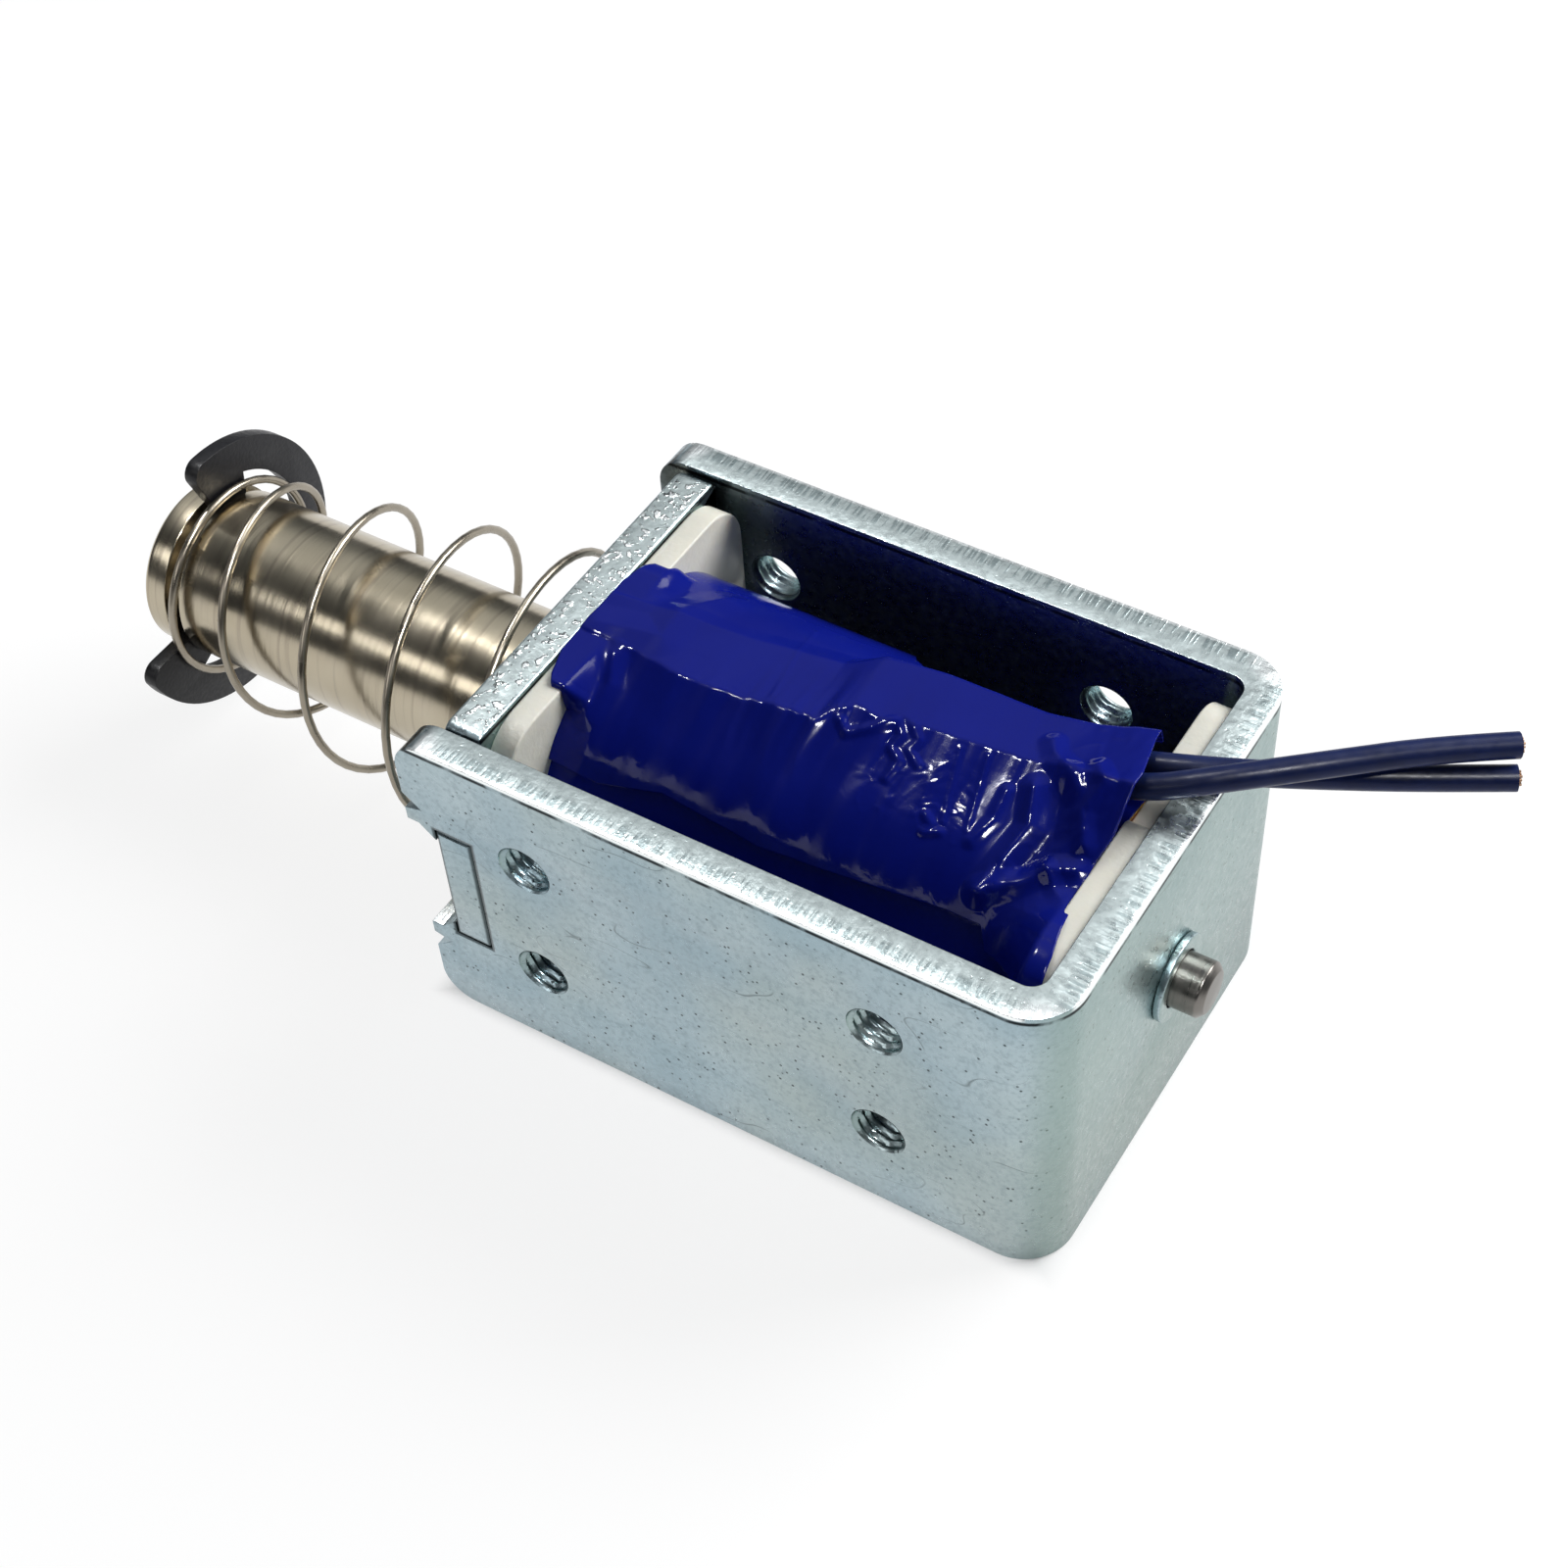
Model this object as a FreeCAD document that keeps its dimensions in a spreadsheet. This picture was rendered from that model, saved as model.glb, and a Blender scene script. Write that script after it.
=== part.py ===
import FreeCAD, Part
import math
import os

import Sketcher

# A push pull solenoid with an open frame, in millimetres.
# +X runs along the plunger's axis from the clip end to the push pin, +Z is up, and the open side of the frame
# faces up and down. The origin is the middle of the frame's footprint, on the plane that it rests on.

doc = FreeCAD.newDocument("push_pull_solenoid")
sizes = doc.addObject("Spreadsheet::Sheet", "sizes")

# Driving sizes: name, value and what it is.
DRIVING = [
    ("frame_len", 39.0, "side walls, from their front edges to the outer face of the rear wall"),
    ("frame_width", 27.2, "over the outer faces of the side walls"),
    ("frame_height", 21.2, "height of the bent sheet, which is the width of its strip"),
    ("sheet", 2.0, "thickness of the frame's sheet"),
    ("bend_inner", 1.0, "inner radius of the two bends"),
    ("corner_round", 2.0, "rounded front corners of the side walls"),
    ("hole_front", 7.6, "front edges to the first pair of tapped holes"),
    ("hole_pitch_long", 21.3, "tapped holes, spacing along the frame"),
    ("hole_pitch_high", 8.7, "tapped holes, spacing up the wall"),
    ("tap_bore", 2.5, "bore diameter of the tapped holes, before the thread"),
    ("hole_chamfer", 0.4, "chamfer at the outer mouth of a tapped hole"),
    ("plate_setback", 1.8, "front edges of the side walls to the front plate"),
    ("plate_thick", 2.3, "thickness of the front plate"),
    ("plate_foot", 0.1, "how far the plate stays inside the frame's height, above and below"),
    ("plate_side_gap", 0.1, "front plate to the inner faces of the side walls"),
    ("plate_corner", 0.8, "rounded corners of the front plate"),
    ("tab_height", 8.7, "height of the tabs on the front plate"),
    ("tab_clear", 0.05, "clearance of a tab in its slot"),
    ("stake_len", 1.0, "staked lip, along the frame"),
    ("stake_reach", 0.9, "staked lip, how far it closes the slot in front of the tab"),
    ("dent_width", 1.2, "width of the punched dent beside a staked lip"),
    ("dent_depth", 1.1, "depth of the punched dent, from the wall's front edge"),
    ("dent_offset", 1.5, "edge of the slot to the middle of the dent"),
    ("plunger_dia", 10.4, "plunger"),
    ("head_out", 26.8, "front edges of the side walls to the face of the plunger's head, at rest"),
    ("head_thick", 1.7, "plunger's head, up to the clip groove"),
    ("head_chamfer", 0.3, "chamfer of the plunger's head"),
    ("groove_width", 1.1, "clip groove"),
    ("groove_dia", 8.0, "bottom of the clip groove"),
    ("nose_tip_dia", 4.6, "small end of the plunger's conical nose"),
    ("cone_angle", 30.0, "half angle of the nose and of its seat, in degrees"),
    ("stroke", 10.0, "travel of the plunger"),
    ("seat_gap", 0.15, "gap that is left along the axis between nose and seat when pulled in"),
    ("tube_clear", 0.08, "plunger to guide tube, on the radius"),
    ("tube_wall", 0.4, "wall of the guide tube"),
    ("tube_fit", 0.03, "guide tube to the bores around it, on the radius"),
    ("end_gap", 0.05, "guide tube to the rear wall"),
    ("core_fit", 0.03, "fixed core in the guide tube, on the radius"),
    ("core_len", 10.0, "fixed core, inside the frame"),
    ("core_rim", 0.3, "flat rim around the conical seat"),
    ("spigot_dia", 4.6, "spigot of the core in the rear wall"),
    ("spigot_fit", 0.02, "spigot to its hole, on the radius"),
    ("rivet_dia", 5.1, "riveted end of the core, outside the rear wall"),
    ("rivet_out", 0.45, "how far the riveted end stands out"),
    ("pin_dia", 3.2, "push pin"),
    ("pin_clear", 0.08, "push pin to its bore in the core, on the radius"),
    ("pin_out", 2.3, "push pin beyond the rear wall, at rest"),
    ("pin_press", 8.0, "push pin pressed into the plunger's nose"),
    ("pin_chamfer", 0.35, "chamfer of the push pin"),
    ("clip_dia", 17.3, "E-clip"),
    ("clip_thick", 0.9, "E-clip"),
    ("clip_band", 2.2, "width of the E-clip's outer band"),
    ("clip_prong", 4.0, "width of the E-clip's prongs"),
    ("clip_mouth", 7.0, "mouth of the E-clip at the groove"),
    ("clip_flare", 35.0, "flare of the E-clip's mouth, in degrees to its middle line"),
    ("clip_prong_angle", 118.0, "side prongs, in degrees from the middle prong"),
    ("clip_round", 0.9, "rounded ends of the E-clip's arms"),
    ("clip_turn", 55.0, "how far the E-clip's mouth is turned from straight up, in degrees"),
    ("bobbin_wall", 0.85, "tube of the bobbin"),
    ("flange_thick", 1.5, "flanges of the bobbin"),
    ("flange_side_gap", 0.2, "flanges to the inner faces of the side walls"),
    ("flange_foot_gap", 0.4, "flanges to the top and bottom of the frame"),
    ("flange_corner", 3.0, "rounded corners of the flanges"),
    ("lead_slot_near", 0.7, "slot for the leads in the rear flange, its near side"),
    ("lead_slot_far", 4.6, "slot for the leads in the rear flange, its far side"),
    ("lug_round", 0.7, "rounded lugs at both sides of that slot"),
    ("tape_inset", 0.45, "blue tape below the level of the frame's edges"),
    ("tape_thick", 0.5, "blue tape, all layers"),
    ("wrap_thick", 0.15, "first insulating wrap, on the copper winding"),
    ("cover_thick", 0.25, "tape over the joints"),
    ("backing_thick", 0.15, "tape under the joints"),
    ("trough_low_angle", 48.0, "gap in the blue tape for the joints, in degrees from +Y, far side"),
    ("trough_high_angle", 98.0, "gap in the blue tape for the joints, in degrees from +Y, near side"),
    ("cover_low_angle", 42.0, "tape over the joints, in degrees from +Y, far side"),
    ("cover_high_angle", 142.0, "tape over the joints, in degrees from +Y, near side"),
    ("backing_margin", 3.0, "backing tape to the sides of its trough, in degrees"),
    ("trough_len", 15.9, "trough, from its front end to the rear flange"),
    ("cover_lap", 0.8, "how far the hump over the leads laps over the front end of the trough"),
    ("cover_setback", 0.4, "front end of the cover to the front flange"),
    ("cover_short", 0.9, "rear end of the cover to the rear flange"),
    ("lead_dia", 1.4, "insulated lead"),
    ("lead_start", 12.1, "stripped end of the insulation to the rear flange"),
    ("lead_near_y", 1.8, "near lead, beside the middle plane"),
    ("lead_far_y", 3.35, "far lead, beside the middle plane"),
    ("lead_seat", 0.03, "lead above the backing tape"),
    ("tunnel_side", 0.45, "leads to the cover tape beside them"),
    ("tunnel_low", 0.2, "leads to the cover tape over them, at its front end"),
    ("tunnel_high", 0.85, "leads' level to the cover tape over them, at its rear end, where they rise"),
    ("strand_dia", 0.8, "stripped strands of a lead"),
    ("strand_len", 1.2, "stripped strands, up to the solder"),
    ("solder_len", 2.0, "solder joint"),
    ("solder_dia", 1.2, "solder joint"),
    ("magnet_wire_dia", 0.3, "enamelled wire of the winding"),
    ("spring_wire", 0.5, "wire of the return spring"),
    ("spring_small", 12.24, "return spring, mean diameter at the clip"),
    ("spring_inset", 0.15, "spring's large end above the level that the frame rests on"),
    ("spring_sag", 0.4, "how far the spring hangs below the plunger's axis"),
    ("spring_aside", 0.2, "how far the spring lies beside that axis, towards the far side"),
    ("spring_pitch", 6.73, "pitch of the open turns"),
    ("flat_turns", 0.85, "turns of the spring that lie flat at each end"),
    ("ramp_turns", 0.4, "turns over which the wire leaves a flat end"),
    ("phase_turns", -0.25, "turn at which the wire starts at the clip, counted from +Y towards +Z"),
    ("spring_seat", 0.02, "gap between the spring's ends and what they press on"),
]
for line, (alias, size, note) in enumerate(DRIVING, start=1):
    sizes.set(f"A{line}", note)
    sizes.set(f"B{line}", str(size))
    sizes.setAlias(f"B{line}", alias)
doc.recompute()

# Places that several pieces share, as expressions of the driving sizes. Heights in pieces that sit on the
# plunger's axis are counted from that axis.
FRONT = "(-sizes.frame_len / 2)"
REAR = "(sizes.frame_len / 2)"
AXIS_Z = "(sizes.frame_height / 2)"
WALL_FACE = "(sizes.frame_len / 2 - sizes.sheet)"
INNER_HALF = "(sizes.frame_width / 2 - sizes.sheet)"
PLATE_FRONT = f"({FRONT} + sizes.plate_setback)"
PLATE_REAR = f"({PLATE_FRONT} + sizes.plate_thick)"
COIL_FRONT = f"({PLATE_REAR} + sizes.flange_thick)"
COIL_REAR = f"({WALL_FACE} - sizes.flange_thick)"
PLUNGER_R = "(sizes.plunger_dia / 2)"
TUBE_IN_R = f"({PLUNGER_R} + sizes.tube_clear)"
TUBE_OUT_R = f"({TUBE_IN_R} + sizes.tube_wall)"
BORE_R = f"({TUBE_OUT_R} + sizes.tube_fit)"
BOBBIN_R = f"({BORE_R} + sizes.bobbin_wall)"
TAPE_R = f"({AXIS_Z} - sizes.tape_inset)"
WRAP_R = f"({TAPE_R} - sizes.tape_thick)"
WINDING_R = f"({WRAP_R} - sizes.wrap_thick)"
COVER_R = f"({TAPE_R} + sizes.cover_thick)"
BACKING_R = f"({WRAP_R} + sizes.backing_thick)"
CORE_FRONT = f"({WALL_FACE} - sizes.core_len)"
CORE_R = f"({TUBE_IN_R} - sizes.core_fit)"
MOUTH_R = f"({CORE_R} - sizes.core_rim)"
TIP_R = "(sizes.nose_tip_dia / 2)"
SLOPE = "tan(sizes.cone_angle * 1deg)"
SEAT_BOTTOM = f"({CORE_FRONT} + ({MOUTH_R} - {TIP_R}) / {SLOPE})"
NOSE_TIP = f"({SEAT_BOTTOM} - sizes.seat_gap - sizes.stroke)"
NOSE_BASE = f"({NOSE_TIP} - ({PLUNGER_R} - {TIP_R}) / {SLOPE})"
PIN_R = "(sizes.pin_dia / 2)"
PIN_BORE_R = f"({PIN_R} + sizes.pin_clear)"
PIN_START = f"({NOSE_TIP} - sizes.pin_press)"
HEAD_FACE = f"({FRONT} - sizes.head_out)"
CLIP_FRONT = f"({HEAD_FACE} + sizes.head_thick)"
GROOVE_R = "(sizes.groove_dia / 2)"
TROUGH_FRONT = f"({COIL_REAR} - sizes.trough_len)"
HUMP_FRONT = f"({TROUGH_FRONT} - sizes.cover_lap)"
COVER_FRONT = f"({COIL_FRONT} + sizes.cover_setback)"
COVER_REAR = f"({COIL_REAR} - sizes.cover_short)"


def size(expression):
    """The value of an expression of the driving sizes."""
    return float(reader.evalExpression(expression))


def new_body(name, on_axis=True):
    """A body; one that sits on the plunger's axis has that axis as its own X axis."""
    body = doc.addObject("PartDesign::Body", name)
    body.Label = name
    if on_axis:
        body.setExpression("Placement.Base.z", AXIS_Z)
    return body


def plane_of(body, role):
    """One of a body's own origin planes."""
    return next(item for item in body.Origin.OriginFeatures if item.Role == role)


def new_sketch(body, name, role, offset=None):
    """A sketch on an origin plane of its body, moved along the plane's normal by an expression."""
    sketch = body.newObject("Sketcher::SketchObject", name)
    sketch.AttachmentSupport = [(plane_of(body, role), "")]
    sketch.MapMode = "FlatFace"
    if offset:
        sketch.setExpression("AttachmentOffset.Base.z", offset)
    return sketch


def bind(sketch, kind, element, point, expression):
    """Ties one coordinate of a sketch point to an expression."""
    value = float(sketch.evalExpression(expression))
    index = sketch.addConstraint(Sketcher.Constraint(kind, -1, 1, element, point, value))
    sketch.setExpression(f"Constraints[{index}]", expression)


def outline(sketch, corners):
    """A closed outline of straight edges; each corner is a pair of expressions."""
    points = [
        FreeCAD.Vector(float(sketch.evalExpression(across)), float(sketch.evalExpression(up)), 0)
        for across, up in corners
    ]
    first = sketch.GeometryCount
    count = len(points)
    for index in range(count):
        sketch.addGeometry(Part.LineSegment(points[index], points[(index + 1) % count]), False)
    for index in range(count):
        following = first + (index + 1) % count
        sketch.addConstraint(Sketcher.Constraint("Coincident", first + index, 2, following, 1))
    for index, (across, up) in enumerate(corners):
        bind(sketch, "DistanceX", first + index, 1, across)
        bind(sketch, "DistanceY", first + index, 1, up)


def circle(sketch, across, up, radius):
    """A circle whose centre and radius are expressions."""
    centre = FreeCAD.Vector(float(sketch.evalExpression(across)), float(sketch.evalExpression(up)), 0)
    value = float(sketch.evalExpression(radius))
    element = sketch.addGeometry(Part.Circle(centre, FreeCAD.Vector(0, 0, 1), value), False)
    bind(sketch, "DistanceX", element, 3, across)
    bind(sketch, "DistanceY", element, 3, up)
    index = sketch.addConstraint(Sketcher.Constraint("Radius", element, value))
    sketch.setExpression(f"Constraints[{index}]", radius)


def pad(body, sketch, length, reverse=False):
    """Extrudes a sketch along its normal, or against it."""
    feature = body.newObject("PartDesign::Pad", sketch.Name + "_pad")
    feature.Profile = sketch
    feature.setExpression("Length", length)
    feature.Reversed = reverse
    doc.recompute()
    return feature


def cut_through(body, sketch, length):
    """Cuts a sketch's outline through the body, the same way on both sides of the sketch."""
    before = body.Shape.Volume
    feature = body.newObject("PartDesign::Pocket", sketch.Name + "_cut")
    feature.Profile = sketch
    feature.SideType = "Symmetric"
    feature.setExpression("Length", length)
    doc.recompute()
    if body.Shape.Volume >= before:
        raise ValueError(f"{sketch.Name} cuts nothing")
    return feature


def turned(body, name, corners):
    """A solid of revolution about X, from an outline of places along X and radii."""
    sketch = new_sketch(body, name, "XZ_Plane")
    outline(sketch, corners)
    feature = body.newObject("PartDesign::Revolution", name + "_turned")
    feature.Profile = sketch
    feature.ReferenceAxis = (sketch, ["H_Axis"])
    feature.Angle = 360
    doc.recompute()
    return feature


def ring(body, name, start, end, inner, outer):
    """A plain tube about X."""
    return turned(body, name, [(start, inner), (end, inner), (end, outer), (start, outer)])


def edges_where(shape, test):
    """Names of a shape's edges that pass a test."""
    return [f"Edge{index}" for index, edge in enumerate(shape.Edges, start=1) if test(edge)]


def along(edge, axis):
    """Whether an edge is straight and parallel to an axis, given as 0, 1 or 2 for X, Y or Z."""
    if not isinstance(edge.Curve, Part.Line):
        return False
    return abs(edge.Curve.Direction[axis]) > 0.999


def dress(body, kind, name, setting, expression, test):
    """Fillets or chamfers the edges of a body's last feature that pass a test."""
    base = body.Tip
    names = edges_where(base.Shape, test)
    if not names:
        raise ValueError(f"{name} finds no edge")
    feature = body.newObject(f"PartDesign::{kind}", name)
    feature.Base = (base, names)
    feature.setExpression(setting, expression)
    doc.recompute()
    return feature


def near(value, goal):
    """Whether two lengths agree to a hundredth of a millimetre."""
    return abs(value - goal) < 0.01


def make_u_frame():
    """The bent sheet: side walls, rear wall, slots for the front plate, tapped holes and staked lips."""
    body = new_body("u_frame", on_axis=False)
    half, inner = "(sizes.frame_width / 2)", INNER_HALF
    strip = new_sketch(body, "u_strip", "XY_Plane")
    outline(strip, [
        (FRONT, f"-{half}"), (REAR, f"-{half}"), (REAR, half), (FRONT, half),
        (FRONT, inner), (WALL_FACE, inner), (WALL_FACE, f"-{inner}"), (FRONT, f"-{inner}"),
    ])
    pad(body, strip, "sizes.frame_height")
    rear, wall_face = size(REAR), size(WALL_FACE)
    dress(body, "Fillet", "outer_bends", "Radius", "sizes.bend_inner + sizes.sheet",
          lambda edge: along(edge, 2) and near(edge.CenterOfMass.x, rear))
    dress(body, "Fillet", "inner_bends", "Radius", "sizes.bend_inner",
          lambda edge: along(edge, 2) and near(edge.CenterOfMass.x, wall_face))
    front, height = size(FRONT), size("sizes.frame_height")
    dress(body, "Fillet", "front_corners", "Radius", "sizes.corner_round",
          lambda edge: along(edge, 1) and near(edge.CenterOfMass.x, front))

    slot = new_sketch(body, "tab_slot", "XZ_Plane")
    slot_half = "(sizes.tab_height / 2 + sizes.tab_clear)"
    slot_end = f"({PLATE_REAR} + sizes.tab_clear)"
    slot_mouth = f"({FRONT} - sizes.sheet)"
    outline(slot, [
        (slot_mouth, f"{AXIS_Z} - {slot_half}"), (slot_end, f"{AXIS_Z} - {slot_half}"),
        (slot_end, f"{AXIS_Z} + {slot_half}"), (slot_mouth, f"{AXIS_Z} + {slot_half}"),
    ])
    cut_through(body, slot, "2 * sizes.frame_width")

    dents = new_sketch(body, "punch_dents", "XZ_Plane")
    for side in ("+", "-"):
        middle = f"({AXIS_Z} {side} ({slot_half} + sizes.dent_offset))"
        outline(dents, [
            (FRONT, f"{middle} - sizes.dent_width / 2"),
            (f"{FRONT} + sizes.dent_depth", f"{middle} {side} -sizes.dent_width / 4"),
            (FRONT, f"{middle} + sizes.dent_width / 2"),
        ])
    cut_through(body, dents, "2 * sizes.frame_width")

    lips = new_sketch(body, "staked_lips", "XZ_Plane", "sizes.frame_width / 2")
    lip_end = f"({PLATE_FRONT} - sizes.tab_clear)"
    for side in ("+", "-"):
        edge_z = f"({AXIS_Z} {side} {slot_half})"
        outline(lips, [
            (f"{lip_end} - sizes.stake_len", edge_z),
            (lip_end, edge_z),
            (lip_end, f"{edge_z} {side} -sizes.stake_reach"),
        ])
    near_lips = pad(body, lips, "sizes.sheet", reverse=True)
    far_lips = body.newObject("PartDesign::Mirrored", "far_lips")
    far_lips.Originals = [near_lips]
    far_lips.MirrorPlane = (plane_of(body, "XZ_Plane"), [""])
    body.Tip = far_lips
    doc.recompute()

    holes = new_sketch(body, "tapped_holes", "XZ_Plane")
    for column in ("0", "sizes.hole_pitch_long"):
        for side in ("-", "+"):
            circle(holes, f"{FRONT} + sizes.hole_front + {column}",
                   f"{AXIS_Z} {side} sizes.hole_pitch_high / 2", "sizes.tap_bore / 2")
    cut_through(body, holes, "2 * sizes.frame_width")
    bore, outside = size("sizes.tap_bore / 2"), size(half)
    dress(body, "Chamfer", "hole_chamfers", "Size", "sizes.hole_chamfer",
          lambda edge: isinstance(edge.Curve, Part.Circle) and near(edge.Curve.Radius, bore)
          and near(abs(edge.Curve.Center.y), outside))

    core_hole = new_sketch(body, "core_hole", "YZ_Plane")
    circle(core_hole, "0", AXIS_Z, "sizes.spigot_dia / 2 + sizes.spigot_fit")
    cut_through(body, core_hole, "2 * sizes.frame_len")
    return body


def make_front_plate():
    """The front plate: a shouldered plate whose tabs fill the slots in the side walls."""
    body = new_body("front_plate")
    plate = new_sketch(body, "plate_outline", "YZ_Plane", PLATE_FRONT)
    shoulder = f"({INNER_HALF} - sizes.plate_side_gap)"
    rise = f"({AXIS_Z} - sizes.plate_foot)"
    tab_end, tab = "(sizes.frame_width / 2)", "(sizes.tab_height / 2)"
    outline(plate, [
        (f"-{shoulder}", f"-{rise}"), (shoulder, f"-{rise}"), (shoulder, f"-{tab}"), (tab_end, f"-{tab}"),
        (tab_end, tab), (shoulder, tab), (shoulder, rise), (f"-{shoulder}", rise),
        (f"-{shoulder}", tab), (f"-{tab_end}", tab), (f"-{tab_end}", f"-{tab}"), (f"-{shoulder}", f"-{tab}"),
    ])
    circle(plate, "0", "0", BORE_R)
    pad(body, plate, "sizes.plate_thick")
    shoulder_y, rise_z = size(shoulder), size(rise)
    dress(body, "Fillet", "plate_corners", "Radius", "sizes.plate_corner",
          lambda edge: along(edge, 0) and near(abs(edge.CenterOfMass.y), shoulder_y)
          and near(abs(edge.CenterOfMass.z), rise_z))
    return body


def make_guide_tube():
    """The brass tube that the plunger slides in and that holds the core."""
    body = new_body("guide_tube")
    ring(body, "tube_wall", PLATE_FRONT, f"{WALL_FACE} - sizes.end_gap", TUBE_IN_R, TUBE_OUT_R)
    return body


def make_bobbin():
    """The nylon bobbin: a tube and two flanges, the rear one with a slot for the leads."""
    body = new_body("bobbin")
    ring(body, "bobbin_tube", PLATE_REAR, WALL_FACE, BORE_R, BOBBIN_R)
    half_wide = f"({INNER_HALF} - sizes.flange_side_gap)"
    half_high = f"({AXIS_Z} - sizes.flange_foot_gap)"
    for name, start in (("front_flange", PLATE_REAR), ("rear_flange", COIL_REAR)):
        flange = new_sketch(body, name, "YZ_Plane", start)
        outline(flange, [
            (f"-{half_wide}", f"-{half_high}"), (half_wide, f"-{half_high}"),
            (half_wide, half_high), (f"-{half_wide}", half_high),
        ])
        circle(flange, "0", "0", BORE_R)
        pad(body, flange, "sizes.flange_thick")
    wide = size(half_wide)
    dress(body, "Fillet", "flange_corners", "Radius", "sizes.flange_corner",
          lambda edge: along(edge, 0) and near(abs(edge.CenterOfMass.y), wide))
    relief = new_sketch(body, "bend_relief", "XY_Plane")
    for side in ("", "-"):
        outline(relief, [
            (WALL_FACE, f"{side}({INNER_HALF} - sizes.flange_side_gap - sizes.bend_inner)"),
            (f"{WALL_FACE} + sizes.sheet", f"{side}{INNER_HALF}"),
            (f"{WALL_FACE} - sizes.bend_inner", f"{side}{INNER_HALF}"),
            (f"{WALL_FACE} - sizes.bend_inner", f"{side}({INNER_HALF} - sizes.flange_side_gap)"),
        ])
    cut_through(body, relief, "2 * sizes.frame_height")
    slot = new_sketch(body, "lead_slot", "YZ_Plane", f"{COIL_REAR} + sizes.flange_thick / 2")
    over = f"({half_high} + sizes.flange_thick)"
    outline(slot, [
        ("sizes.lead_slot_near", f"{WINDING_R} - sizes.wrap_thick"),
        ("sizes.lead_slot_far", f"{WINDING_R} - sizes.wrap_thick"),
        ("sizes.lead_slot_far", over), ("sizes.lead_slot_near", over),
    ])
    cut_through(body, slot, "2 * sizes.flange_thick")
    top, slot_near, slot_far = size(half_high), size("sizes.lead_slot_near"), size("sizes.lead_slot_far")
    dress(body, "Fillet", "slot_lugs", "Radius", "sizes.lug_round",
          lambda edge: along(edge, 0) and near(edge.CenterOfMass.z, top)
          and (near(edge.CenterOfMass.y, slot_near) or near(edge.CenterOfMass.y, slot_far)))
    return body


def ray(angle, reach):
    """A point at an angle from +Y towards +Z and at a distance from the axis, as two expressions."""
    return (f"{reach} * cos({angle} * 1deg)", f"{reach} * sin({angle} * 1deg)")


def keep_sector(body, name, low, high, middle):
    """Cuts away all of a tube but the sector between two angles."""
    sketch = new_sketch(body, name, "YZ_Plane", middle)
    far = "(2 * sizes.frame_width)"
    outline(sketch, [
        ("0", "0"), ray(high, far), (f"-{far}", "0"), ("0", f"-{far}"), (far, "0"), ray(low, far),
    ])
    cut_through(body, sketch, "2 * sizes.frame_len")


def make_coil():
    """The winding, its first wrap and the blue tape, which leaves a trough over the joints."""
    winding = new_body("coil_winding")
    ring(winding, "winding_turns", COIL_FRONT, COIL_REAR, BOBBIN_R, WINDING_R)
    wrap = new_body("inner_wrap")
    ring(wrap, "wrap_turns", COIL_FRONT, COIL_REAR, WINDING_R, WRAP_R)
    tape = new_body("outer_tape")
    ring(tape, "tape_turns", COIL_FRONT, COIL_REAR, WRAP_R, TAPE_R)
    trough = new_sketch(tape, "joint_trough", "YZ_Plane", COIL_REAR)
    far = "(2 * sizes.frame_width)"
    outline(trough, [("0", "0"), ray("sizes.trough_low_angle", far), ray("sizes.trough_high_angle", far)])
    cut_through(tape, trough, f"2 * ({COIL_REAR} - {TROUGH_FRONT})")
    return [winding, wrap, tape]


def loft(body, kind, name, sections):
    """Adds or cuts the straight-sided solid between two outlines."""
    before = body.Shape.Volume
    feature = body.newObject(f"PartDesign::{kind}", name)
    feature.Profile = sections[0]
    feature.Sections = sections[1:]
    feature.Ruled = True
    doc.recompute()
    if near(body.Shape.Volume, before):
        raise ValueError(f"{name} changes nothing")
    return feature


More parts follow.
